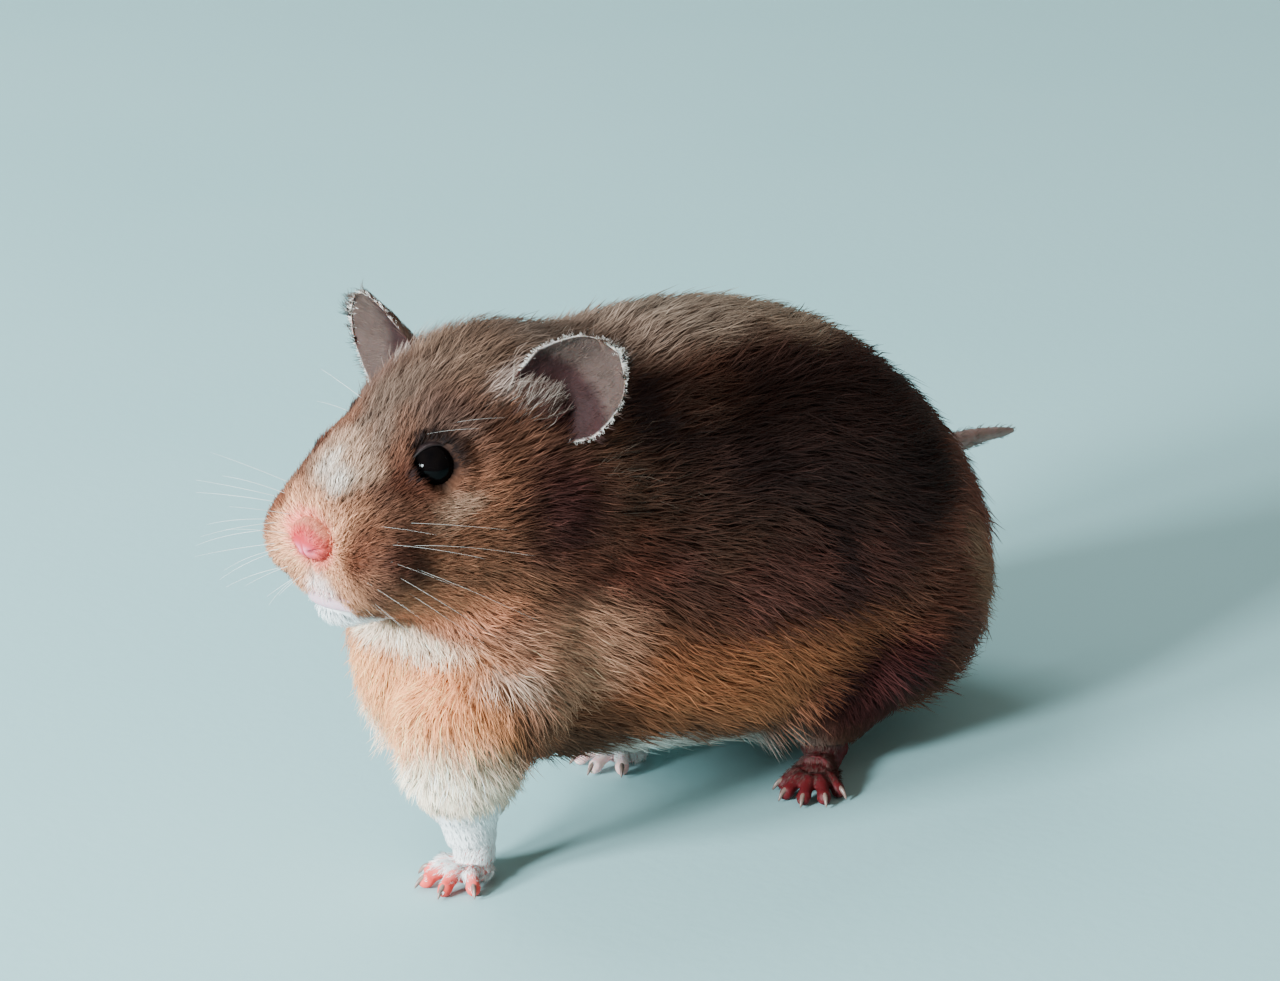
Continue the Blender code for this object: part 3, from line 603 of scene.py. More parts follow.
@dataclass(frozen=True)
class HairLie:
    """Which way the coat lies, how long the hair is and how far it stands off, as functions of place."""

    parting: Triple = (0.0, -3.0, 45.5)
    reach: tuple[float, ...] = (0.0, 5.0, 9.0, 15.0, 22.0, 32.0, 42.0, 55.0, 80.0)
    length: tuple[float, ...] = (0.9, 1.15, 1.6, 2.3, 3.3, 4.8, 6.2, 7.5, 8.5)
    lift_degrees: tuple[float, ...] = (46.0, 42.0, 32.0, 23.0, 27.0, 33.0, 24.0, 18.0, 17.0)
    leg_level: tuple[float, ...] = (4.0, 7.0, 11.0, 16.0, 22.0)
    leg_share: tuple[float, ...] = (0.16, 0.2, 0.28, 0.46, 0.8)
    leg_flat: float = 0.5
    leg_reach: Pair = (13.0, 8.0)
    leg_top: Pair = (20.0, 12.0)
    foot_top: Pair = (14.0, 8.0)
    fall: Triple = (0.12, 0.5, 0.9)
    flank_level: Pair = (60.0, 30.0)
    rump_behind: Pair = (88.0, 108.0)
    head_reach: Pair = (48.0, 26.0)
    leg_way: Triple = (0.0, 0.22, -1.0)
    throat_level: Pair = (34.0, 27.0)
    throat_behind: Pair = (30.0, 18.0)
    ear_front: Triple = (12.5, 25.5, 61.5)
    ear_sweep: Triple = (0.3, 0.62, 0.72)
    ear_pull: float = 1.6
    ear_reach: float = 6.5
    eye_clear: Pair = (2.4, 5.2)
    eye_push: float = 1.1
    eye_reach: float = 4.2
    lid_share: float = 0.4
    wander: float = 0.3
    wander_cell: float = 9.0
    ripple: float = 0.18
    ripple_cell: float = 3.0
    inset_share: float = 0.8
    under_cut: float = 0.25
    under_tilt: Pair = (0.3, 0.9)
    floor_clear: float = 1.6
    floor_share: float = 0.85
    least: float = 0.6

    def from_parting(self, places: Array) -> Array:
        """Distance of each place from where the face's hair parts, at the nose."""
        return from_spot(places, self.parting)

    def leg_weight(self, places: Array) -> Array:
        """How much each place belongs to a leg: near an ankle's upright line and low down, from 0 to 1."""
        away = np.min([np.hypot(places[:, 0] - x, places[:, 1] - y) for x, y in ANKLES.values()], axis=0)
        return ramp(*self.leg_reach, away) * ramp(*self.leg_top, places[:, 2])

    def eye_offset(self, places: Array) -> Array:
        """Vector from the front of the nearer eye to each place, sides folded together."""
        return on_left(places) - (EYE_PLACE + unit(EYE_LOOK) * EYE_RADIUS * 0.7)

    def direction(self, places: Array, normals: Array) -> Array:
        """The way the hair points, along the skin.

        On the head it runs away from the parting at the nose, on the trunk backwards and down the flanks,
        on the legs and the chest downwards.  It is pushed away from the eyes, swept up and back in front
        of the ears, and wanders with soft noise.

        Args:
            places: Roots in millimetres.
            normals: The skin's normals there.

        Returns:
            Unit vectors along the skin.
        """
        least, on_side, on_rump = self.fall
        side = 1.0 - np.abs(normals[:, 2])
        fall = (least + on_side * side * ramp(*self.flank_level, places[:, 2])
                + on_rump * ramp(*self.rump_behind, places[:, 1]))
        back = unit(np.stack((0.0 * fall, 1.0 + 0.0 * fall, -fall), axis=-1))
        away = unit(places - np.array(self.parting))
        lie = mixed(back, away, ramp(*self.head_reach, self.from_parting(places))[:, None])
        throat = ramp(*self.throat_level, places[:, 2]) * ramp(*self.throat_behind, places[:, 1])
        low = np.maximum(self.leg_weight(places), throat)[:, None]
        lie = mixed(lie, unit(np.array(self.leg_way)), low)
        to_side = np.column_stack((np.sign(places[:, 0]), np.ones((len(places), 2))))
        offset = self.eye_offset(places)
        push = self.eye_push * np.exp(-((np.linalg.norm(offset, axis=1) / self.eye_reach) ** 2))
        pull = self.ear_pull * np.exp(-((from_spot(on_left(places), self.ear_front) / self.ear_reach) ** 2))
        lie = lie + unit(offset) * to_side * push[:, None]
        lie = lie + np.array(self.ear_sweep) * to_side * pull[:, None]
        angle = self.wander * lattice_noise(places, self.wander_cell, 31)
        angle += self.ripple * lattice_noise(places, self.ripple_cell, 32)
        return turned(tangential(lie, normals), normals, angle)

    def lengths(self, places: Array, normals: Array) -> Array:
        """Hair length at each place.

        It is read from the distance from the nose, less on legs, belly and lids, and short enough near
        the floor not to touch it.

        Args:
            places: Roots in millimetres.
            normals: The skin's normals there.

        Returns:
            Lengths in millimetres.
        """
        length = np.interp(self.from_parting(places), self.reach, self.length)
        short = np.interp(places[:, 2], self.leg_level, self.leg_share)
        length = length * (1.0 - self.leg_weight(places) * (1.0 - short))
        length = length * (1.0 - self.under_cut * ramp(*self.under_tilt, -normals[:, 2]))
        over_floor = self.floor_share * (places[:, 2] - self.floor_clear)
        length = np.minimum(length, np.maximum(over_floor, self.least))
        near = np.linalg.norm(self.eye_offset(places), axis=1)
        return length * (self.lid_share + (1.0 - self.lid_share) * ramp(*self.eye_clear, near))

    def heights(self, places: Array, normals: Array) -> Array:
        """How high the tips stand over the skin: the length times the sine of the lift there."""
        lift = np.radians(np.interp(self.from_parting(places), self.reach, self.lift_degrees))
        flat = 1.0 - (1.0 - self.leg_flat) * self.leg_weight(places) * ramp(*self.foot_top, places[:, 2])
        return self.lengths(places, normals) * np.sin(lift) * flat

    def depths(self, places: Array, normals: Array) -> Array:
        """How far the skin lies inside the outline, so that the tips reach it."""
        return self.inset_share * self.heights(places, normals)


@dataclass(frozen=True)
class TuftStyle:
    """How one kind of tuft is made up; the ranges are shares of its own length, height and width."""

    strands: int
    spread: float
    gather: float
    width: float
    fan: float
    bow: float
    tone: float
    pale: float
    pale_gain: float
    root_shade: float = 0.6
    tip_shade: float = 1.15
    waist: float = 0.55
    waist_width: float = 0.74
    thick: float = 0.45
    sink: float = 0.18
    stray: float = 0.04
    stray_gain: float = 1.35
    softness: float = 0.6
    lengths: Pair = (0.74, 1.12)
    heights: Pair = (0.45, 1.12)
    widths: Pair = (0.75, 1.25)
    fan_limit: float = 2.2
    roll: float = 0.5


# One strand: two rings of three corners and a tip, numbered in that order.
STRAND_FACES = np.array(((0, 1, 4), (0, 4, 3), (1, 2, 5), (1, 5, 4), (2, 0, 3), (2, 3, 5),
                         (3, 4, 6), (4, 5, 6), (5, 3, 6), (0, 2, 1)))
# The same corners on the strand's own patch: across it, then from root to tip.
STRAND_PATCH = np.array((((0, 0), (1, 0), (1, 2)), ((0, 0), (1, 2), (0, 2)), ((1, 0), (2, 0), (2, 2)),
                         ((1, 0), (2, 2), (1, 2)), ((2, 0), (3, 0), (3, 2)), ((2, 0), (3, 2), (2, 2)),
                         ((0, 2), (1, 2), (0.5, 3)), ((1, 2), (2, 2), (1.5, 3)), ((2, 2), (3, 2), (2.5, 3)),
                         ((0, 0), (2, 0), (1, 0.3)))) / 3.0
STRAND_POINTS = 7
PATCH_SIZE = 0.003
FLOOR_CLEARANCE = 0.06


def grown(roots: Roots, lie: Array, length: Array, height: Array, colour: Array,
          unwrap: Array, style: TuftStyle, rng: Draw) -> Surface:
    """Grows a tuft of tapered strands from each root.

    A strand's middle line is a curve over the tangent plane: forward by its length, sideways by its own
    angle and bow, gathered towards the tuft's middle at the tip, and up by 1.7 t less 0.7 t squared of its
    height.  Each point then drops by half the bend of the skin times the square of its distance from the
    root, and leans with the normal there, so the strand follows the body's curve.  The shading normals
    are mixed from each corner's own way out and the leaning normal, so that the coat is lit softly.

    Args:
        roots: Where the tufts stand.
        lie: The way each tuft points, along the skin.
        length: Hair length of each tuft.
        height: How high its tips stand.
        colour: The coat's colour at each tuft.
        unwrap: Each root's place on the unwrap of the skin, from 0 to 1.
        style: How the tufts are made up.
        rng: The seeded draw.

    Returns:
        All strands as one surface of triangles, with colours and patches on the unwrap.
    """
    count, strands = len(length), style.strands
    shape = (count, strands)
    turn = rng.random(shape) * FULL_TURN
    out = style.spread * np.sqrt(rng.random(shape))
    ahead, aside = (out * np.cos(turn))[..., None], (out * np.sin(turn))[..., None]
    own_length = length[:, None] * rng.uniform(*style.lengths, shape)
    own_height = height[:, None] * rng.uniform(*style.heights, shape)
    own_height = own_height * np.where(rng.random(shape) < style.stray, style.stray_gain, 1.0)
    swerve_limit = style.fan_limit * style.fan
    swerve = np.clip(rng.normal(0.0, style.fan, shape), -swerve_limit, swerve_limit)
    bow = rng.normal(0.0, style.bow, shape) * own_length
    t = np.array((0.0, style.waist, 1.0))
    flat_length = np.sqrt(np.maximum(own_length**2 - own_height**2, (0.3 * own_length) ** 2))
    forward = ahead * (1.0 - 0.4 * style.gather * t) + (flat_length * np.cos(swerve))[..., None] * t
    sideways = aside * (1.0 - style.gather * t) + (flat_length * np.sin(swerve))[..., None] * t
    sideways = sideways + bow[..., None] * np.sin(HALF_TURN * t)
    up = own_height[..., None] * (1.7 * t - 0.7 * t * t) - style.sink * (t == 0.0)
    normal, left = roots.normal, np.cross(roots.normal, lie)
    step = forward[..., None] * lie[:, None, None] + sideways[..., None] * left[:, None, None]
    lean = np.einsum("nde,nkte->nktd", roots.bend, step)
    drop = 0.5 * dot(step, lean)
    leaning = unit(normal[:, None, None] + lean)
    middle = roots.place[:, None, None] + step - drop * normal[:, None, None] + up[..., None] * leaning
    heading = unit(middle[:, :, 2] - middle[:, :, 0])[:, :, None]
    across = unit(np.cross(leaning, heading))
    top = np.cross(heading, across)
    roll = rng.normal(0.0, style.roll, shape)[..., None, None]
    across, top = across * np.cos(roll) + top * np.sin(roll), top * np.cos(roll) - across * np.sin(roll)
    across, top = across[:, :, :2], top[:, :, :2]
    width = style.width * rng.uniform(*style.widths, shape)[..., None] * np.array((1.0, style.waist_width))
    width = width[..., None] * np.minimum(1.0, 0.35 + 0.65 * length / length.mean())[:, None, None, None]
    rings = middle[:, :, :2]
    sides = (rings + 0.5 * width * across, rings + style.thick * width * top, rings - 0.5 * width * across)
    corners = np.stack(sides, axis=3).reshape(count, strands, 6, 3)
    points = np.concatenate((corners, middle[:, :, 2:3]), axis=2)
    points[..., 2] = np.maximum(points[..., 2], FLOOR_CLEARANCE)
    ways = (unit(across - 0.6 * top), top, unit(-across - 0.6 * top))
    outwards = np.stack(ways, axis=3).reshape(count, strands, 6, 3)
    outwards = np.concatenate((outwards, leaning[:, :, 2:3]), axis=2)
    along_skin = leaning[:, :, (0, 0, 0, 1, 1, 1, 2)]
    normals = unit(outwards * (1.0 - style.softness) + along_skin * style.softness)
    tone = np.exp(rng.normal(0.0, style.tone, shape))[..., None]
    tone = np.where(rng.random(shape)[..., None] < style.pale, tone * style.pale_gain, tone)
    shade = np.array((style.root_shade,) * 3 + (1.0,) * 3 + (style.tip_shade,))
    colours = colour[:, None, None] * tone[..., None] * shade[None, None, :, None]
    faces = STRAND_FACES[None] + STRAND_POINTS * np.arange(count * strands)[:, None, None]
    start = np.repeat(unwrap, strands, axis=0)[:, None, None]
    patches = start + PATCH_SIZE * (STRAND_PATCH[None] - 0.5)
    return Surface(points.reshape(-1, 3), triangles=faces.reshape(-1, 3), colours=colours.reshape(-1, 3),
                   corner_uvs=patches.reshape(-1, 2), normals=normals.reshape(-1, 3))


@dataclass(frozen=True)
class Finish:
    """A procedural surface: a colour that noise mottles, with its own roughness and fine relief."""

    name: str
    colour: Triple = (0.5, 0.5, 0.5)
    second: Triple = (0.4, 0.4, 0.4)
    painted: bool = False
    mottle_scale: float = 300.0
    mottle_stretch: Triple = (1.0, 1.0, 1.0)
    mottle_range: Pair = (0.85, 1.15)
    roughness: Pair = (0.5, 0.65)
    specular: float = 0.35
    relief_scale: float = 900.0
    relief_height: float = 0.00005
    subsurface: float = 0.0
    subsurface_radius: float = 0.0008
    gloss_coat: float = 0.0
    gloss_roughness: float = 0.03
    contrast: Pair = (0.35, 0.65)

    def material(self) -> bpy.types.Material:
        """Builds the node material, or finds it if it was built before.

        Returns:
            The material.
        """
        found = bpy.data.materials.get(self.name)
        if found:
            return found
        made = bpy.data.materials.new(self.name)
        made.use_nodes = True
        tree = made.node_tree
        shader = tree.nodes["Principled BSDF"]
        place = tree.nodes.new("ShaderNodeTexCoord").outputs["Object"]
        stretched = self.added(tree, "Mapping", place, "Vector", "Vector", {"Scale": self.mottle_stretch})
        mottle = self.noise(tree, stretched, self.mottle_scale, 5.0)
        self.link_colour(tree, shader, mottle)
        tree.links.new(self.ranged(tree, mottle, "To", self.roughness), shader.inputs["Roughness"])
        relief = self.noise(tree, place, self.relief_scale, 3.0)
        bump = self.added(tree, "Bump", relief, "Height", "Normal", {"Distance": self.relief_height})
        tree.links.new(bump, shader.inputs["Normal"])
        for name, value in (("Specular IOR Level", self.specular), ("Coat Weight", self.gloss_coat),
                            ("Coat Roughness", self.gloss_roughness),
                            ("Subsurface Weight", self.subsurface),
                            ("Subsurface Scale", self.subsurface_radius)):
            shader.inputs[name].default_value = value
        return made

    @staticmethod
    def added(tree: Tree, kind: str, source: Socket, fed: str, given: str, values: dict) -> Socket:
        """Adds a node with set values and feeds one of its sockets.

        Args:
            tree: The material's nodes.
            kind: The node's type, as it ends.
            source: What feeds it.
            fed: The name of the socket that is fed.
            given: The name of the socket that is handed back.
            values: The other sockets' values by name.

        Returns:
            The socket named as given.
        """
        node = tree.nodes.new("ShaderNode" + kind)
        for name, value in values.items():
            node.inputs[name].default_value = value
        tree.links.new(source, node.inputs[fed])
        return node.outputs[given]

    def noise(self, tree: Tree, vector: Socket, scale: float, detail: float) -> Socket:
        """A noise of that scale and that many octaves, read at the vector."""
        return self.added(tree, "TexNoise", vector, "Vector", "Fac", {"Scale": scale, "Detail": detail})

    def ranged(self, tree: Tree, value: Socket, end: str, limits: Pair) -> Socket:
        """A value from 0 to 1 spread To the limits, or a value From within the limits spread to 0 and 1."""
        ends = {end + " Min": limits[0], end + " Max": limits[1]}
        return self.added(tree, "MapRange", value, "Value", "Result", ends)

    def link_colour(self, tree: Tree, shader: bpy.types.Node, mottle: Socket) -> None:
        """Feeds the base colour: painted markings made lighter and darker, or two colours mixed.

        Args:
            tree: The material's nodes.
            shader: The surface shader.
            mottle: The noise that varies the colour.
        """
        mix = tree.nodes.new("ShaderNodeMix")
        mix.data_type = "RGBA"
        if self.painted:
            mix.blend_type = "MULTIPLY"
            mix.inputs["Factor"].default_value = 1.0
            marking = tree.nodes.new("ShaderNodeAttribute")
            marking.attribute_name = MARKING
            tree.links.new(marking.outputs["Color"], mix.inputs["A"])
            tree.links.new(self.ranged(tree, mottle, "To", self.mottle_range), mix.inputs["B"])
        else:
            mix.inputs["A"].default_value = (*self.colour, 1.0)
            mix.inputs["B"].default_value = (*self.second, 1.0)
            tree.links.new(self.ranged(tree, mottle, "From", self.contrast), mix.inputs["Factor"])
        tree.links.new(mix.outputs["Result"], shader.inputs["Base Color"])


FUR = Finish("fur", painted=True, mottle_scale=260.0, mottle_stretch=(1.0, 0.35, 1.0),
             mottle_range=(0.8, 1.2), roughness=(0.62, 0.82), specular=0.13, relief_scale=2500.0,
             relief_height=0.00001)
UNDERFUR = Finish("underfur", painted=True, mottle_scale=420.0, mottle_stretch=(1.0, 0.3, 1.0),
                  mottle_range=(0.7, 1.2), roughness=(0.8, 0.95), specular=0.08, relief_scale=1500.0,
                  relief_height=0.00012)
BARE_SKIN = Finish("bare_skin", painted=True, mottle_scale=500.0, mottle_range=(0.82, 1.15),
                   roughness=(0.45, 0.62), specular=0.22, relief_scale=2600.0, subsurface=0.25)
EAR_SKIN = Finish("thin_ear", painted=True, mottle_scale=350.0, mottle_range=(0.8, 1.15),
                  roughness=(0.6, 0.8), specular=0.15, relief_scale=2200.0, subsurface=0.2)
EYE_GLOSS = Finish("eye_gloss", (0.0008, 0.0008, 0.0012), (0.003, 0.002, 0.002), mottle_scale=500.0,
                   roughness=(0.02, 0.035), specular=0.07, relief_scale=60.0, relief_height=0.000001)
LID_SKIN = Finish("lid_skin", (0.008, 0.005, 0.005), (0.02, 0.011, 0.011), mottle_scale=900.0,
                  roughness=(0.3, 0.5), specular=0.3, relief_scale=3000.0, relief_height=0.00003,
                  gloss_coat=0.05)
CLAW_HORN = Finish("claw_horn", (0.16, 0.1, 0.085), (0.3, 0.2, 0.165), mottle_scale=900.0,
                   roughness=(0.25, 0.4), specular=0.5, relief_scale=2500.0, relief_height=0.00002)
WHISKER_HAIR = Finish("whisker_hair", (0.8, 0.79, 0.75), (0.55, 0.5, 0.46), mottle_scale=120.0,
                      roughness=(0.25, 0.35), specular=0.5, relief_scale=2000.0, relief_height=0.000005)
FLOOR_SHEET = Finish("floor_sheet", (0.365, 0.62, 0.645), (0.385, 0.635, 0.66), mottle_scale=9.0,
                     roughness=(0.75, 0.9), specular=0.15, relief_scale=500.0, relief_height=0.00003)


def dress(piece: Piece, finish: Finish, slot: str, *nodes: str) -> None:
    """Gives a piece its finish and body, and hides the nodes that it replaces.

    Args:
        piece: The finished object.
        finish: Its surface.
        slot: The record's material slot; not used.
        nodes: The nodes that it replaces.
    """
    piece.data.materials.clear()
    piece.data.materials.append(finish.material())
    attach(piece, BODY)
    if nodes:
        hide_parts(*nodes)
    LOG.info("%s: %d points, %d faces", piece.name, len(piece.data.vertices), len(piece.data.polygons))


def mesh_arrays(mesh: bpy.types.Mesh) -> tuple[Array, Array]:
    """A mesh's points and triangles as arrays."""
    mesh.calc_loop_triangles()
    points = np.empty(len(mesh.vertices) * 3, np.float32)
    mesh.vertices.foreach_get("co", points)
    triangles = np.empty(len(mesh.loop_triangles) * 3, np.int32)
    mesh.loop_triangles.foreach_get("vertices", triangles)
    return points.reshape(-1, 3).astype(float), triangles.reshape(-1, 3).astype(np.int64)


def reshape(piece: Piece, points: Array, colours: Array) -> None:
    """Gives a piece's vertices new places, in the animal's millimetres, and their colours."""
    piece.data.vertices.foreach_set("co", ANIMAL.metres(points).astype(np.float32).ravel())
    piece.data.update()
    paint(piece.data, colours)
    piece.data.shade_smooth()


def grown_together(piece: Piece, voxel: float, softening: int) -> Piece:
    """Joins all closed shells of a piece into one even skin and softens it.

    Args:
        piece: The object that holds the shells.
        voxel: Size of the even net, in millimetres.
        softening: Rounds of smoothing.

    Returns:
        The same object with its new mesh.
    """
    remesh = piece.modifiers.new("even", "REMESH")
    remesh.mode = "VOXEL"
    remesh.voxel_size = voxel * MM
    remesh.use_smooth_shade = True
    soften = piece.modifiers.new("soften", "SMOOTH")
    soften.factor = 0.5
    soften.iterations = softening
    graph = bpy.context.evaluated_depsgraph_get()
    mesh = bpy.data.meshes.new_from_object(piece.evaluated_get(graph))
    piece.modifiers.clear()
    piece.data = mesh
    return piece


@dataclass(frozen=True)
class Skin:
    """One skin over head, neck, trunk and legs, inside the coat."""

    nodes: tuple[str, ...] = ("head", "neck", "torso", "lower_jaw", "foreleg_left", "foreleg_right",
                              "hindleg_left", "hindleg_right")
    fillers: tuple[str, ...] = ("eye_left", "eye_right", "nose")
    swell: float = 0.26
    voxel: float = 0.54
    softening: int = 14
    shade: float = 0.86
    philtrum_width: float = 0.55
    philtrum_depth: float = 0.45
    philtrum_bottom: Pair = (39.0, 41.0)
    philtrum_top: Pair = (47.5, 45.5)
    philtrum_behind: Pair = (8.0, 5.0)
    eye_opening: Pair = (3.35, 2.95)
    eye_depth: float = 2.5
    nose_reach: Pair = (1.22, 1.02)
    nose_behind: float = 0.6
    nose_depth: float = 0.8

    def shell_of(self, node: str) -> Surface:
        """A node's own surface with its points merged, moved out a little to meet its neighbours.

        Args:
            node: The node's name.

        Returns:
            The surface in the animal's millimetres.
        """
        points, triangles = mesh_arrays(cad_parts[node].data)
        whole, index = np.unique(np.round(points / MM, 4), axis=0, return_inverse=True)
        triangles = index.reshape(-1)[triangles]
        a, b, c = (whole[triangles[:, k]] for k in range(3))
        normals = unit(Hide.gathered(np.cross(b - a, c - a), triangles, len(whole)))
        return Surface(ANIMAL.millimetres((whole + normals * self.swell) * MM), triangles=triangles)

    def build(self, lie: HairLie, colours: CoatColours) -> Hide:
        """Makes the skin: the flesh nodes grown together, then moved in by the coat's depth.

        Args:
            lie: The coat, whose depth the skin keeps.
            colours: The coat's markings.

        Returns:
            The skin's hide.
        """
        whole = Surface.joined([self.shell_of(node) for node in self.nodes + self.fillers])
        piece = grown_together(whole.to_object("skin"), self.voxel, self.softening)
        points, triangles = mesh_arrays(piece.data)
        hide = Hide.of(ANIMAL.millimetres(points), triangles)
        inner = hide.points - hide.normals * (self.swell + lie.depths(hide.points, hide.normals))[:, None]
        inner = self.sunk(inner - hide.normals * self.philtrum(inner)[:, None])
        reshape(piece, inner, colours.at(inner) * self.shade)
        dress(piece, UNDERFUR, "coat_brown", *self.nodes)
        return Hide.of(inner, triangles)

    def sunk(self, places: Array) -> Array:
        """Moves the skin in under each eyeball and under the nose pad, which stand bare in front of it.

        Args:
            places: The skin's points.

        Returns:
            The points, those in an eye's opening drawn onto a smaller ball and those at the pad inside it.
        """
        sunk = places.copy()
        for side in Side:
            centre, look = side.of(EYE_PLACE), unit(side.of(EYE_LOOK))
            offset = sunk - centre
            ahead = offset @ look
            beside = np.linalg.norm(offset - ahead[:, None] * look, axis=1)
            share = ramp(*self.eye_opening, beside) * (ahead > 0.0)
            deep = centre + unit(offset) * self.eye_depth
            sunk += (deep - sunk) * share[:, None]
        offset = sunk - NOSE_PLACE
        reach = np.linalg.norm(offset / NOSE_HALF, axis=1)
        share = ramp(*self.nose_reach, reach) * (offset[:, 1] < self.nose_behind)
        inside = NOSE_PLACE + offset * (self.nose_depth / np.maximum(reach, self.nose_depth))[:, None]
        return sunk + (inside - sunk) * share[:, None]

    def philtrum(self, places: Array) -> Array:
        """Depth of the groove from the nose down to the lip: a narrow bell across x, faded at both ends."""
        x, y, z = places.T
        across = np.exp(-((x / self.philtrum_width) ** 2))
        down = ramp(*self.philtrum_bottom, z) * ramp(*self.philtrum_top, z) * ramp(*self.philtrum_behind, y)
        return self.philtrum_depth * across * down


@dataclass(frozen=True)
class Bald:
    """Places on the head where no hair grows: the eyes, the nose pad and the lower lip."""

    eye_rim: float = 3.3
    corner_shift: float = 0.45
    nose_margin: float = 0.97
    lip_half_width: float = 3.6
    lip_over: float = 0.5
    lip_behind: float = 8.0

    def keeps(self, places: Array, lip: "Mouth") -> Array:
        """Says which roots may carry hair.

        Args:
            places: The roots.
            lip: The mouth, whose lower lip stays bare.

        Returns:
            True where hair grows.
        """
        offset = on_left(places) - EYE_PLACE
        look = unit(EYE_LOOK)
        shifted = offset - tangential(np.array(EYE_CORNER), look) * self.corner_shift
        beside = np.linalg.norm(shifted - (shifted @ look)[:, None] * look, axis=1)
        on_eye = (beside < self.eye_rim) & (offset @ look > 0.0)
        nose = np.linalg.norm((places - NOSE_PLACE) / NOSE_HALF, axis=1) < self.nose_margin
        under = lip.level(places[:, 1]) - places[:, 2]
        bare_lip = (under > -self.lip_over) & (under < lip.bare_height) & (places[:, 1] < self.lip_behind)
        bare_lip &= np.abs(places[:, 0]) < self.lip_half_width
        return ~(on_eye | nose | bare_lip)


@dataclass(frozen=True)
class Streamers:
    """Longer guard hairs that sweep over the coat in one place, the same on both sides."""

    name: str
    centre: Triple
    reach: float
    way: Triple
    tufts: int
    length: Pair
    rise: float
    dark: Triple
    pale: Triple
    pale_share: float
    style: TuftStyle
    wander: float = 0.16
    core: float = 0.3
    seed: int = 23

    def build(self, hide: Hide) -> None:
        """Grows the hair on both sides, from a patch that fades out round its centre.

        Args:
            hide: The skin.
        """
        for side in Side:
            rng = np.random.default_rng(self.seed + side.value)
            centre = side.of(self.centre)
            density = ramp(self.reach, self.core * self.reach, from_spot(hide.points, centre))
            roots = hide.scattered(density, self.tufts, rng)
            way = tangential(side.of(self.way), roots.normal)
            lie = turned(way, roots.normal, rng.normal(0.0, self.wander, self.tufts))
            length = rng.uniform(*self.length, self.tufts)
            pale = (rng.random(self.tufts) < self.pale_share)[:, None]
            colour = np.where(pale, np.array(self.pale), np.array(self.dark))
            aside = (roots.place - centre)[:, :2] / (4.0 * self.reach)
            unwrap = np.clip(0.5 + aside, UNWRAP_EDGE, 1.0 - UNWRAP_EDGE)
            hair = grown(roots, lie, length, self.rise * length, colour, unwrap, self.style, rng)
            dress(hair.to_object(f"{self.name}_{side.word}"), FUR, "coat_brown")


STREAMERS = (
    Streamers("ear_fringe", (12.2, 26.2, 61.8), 4.6, (0.42, 0.5, 0.76), 220, (4, 6.8), 0.55,
              (0.075, 0.034, 0.028), (0.52, 0.42, 0.36), 0.36,
              TuftStyle(4, 0.34, 0.1, 0.07, 0.2, 0.09, 0.2, 0, 1, 0.6, 1.15)),
    Streamers("neck_locks", (17.5, 36, 52), 9, (0.15, 0.95, 0.05), 80, (6.5, 9.5), 0.26,
              (0.06, 0.03, 0.022), (0.19, 0.125, 0.095), 0.35,
              TuftStyle(3, 0.3, 0.1, 0.095, 0.22, 0.1, 0.2, 0, 1, 0.6, 1.15), 0.3),
)


class CoatPart(Enum):
    """The kinds of coat; the value starts the names of their pieces."""

    FACE = "coat_face"
    BODY = "coat_body"
    LEG = "coat_legs"


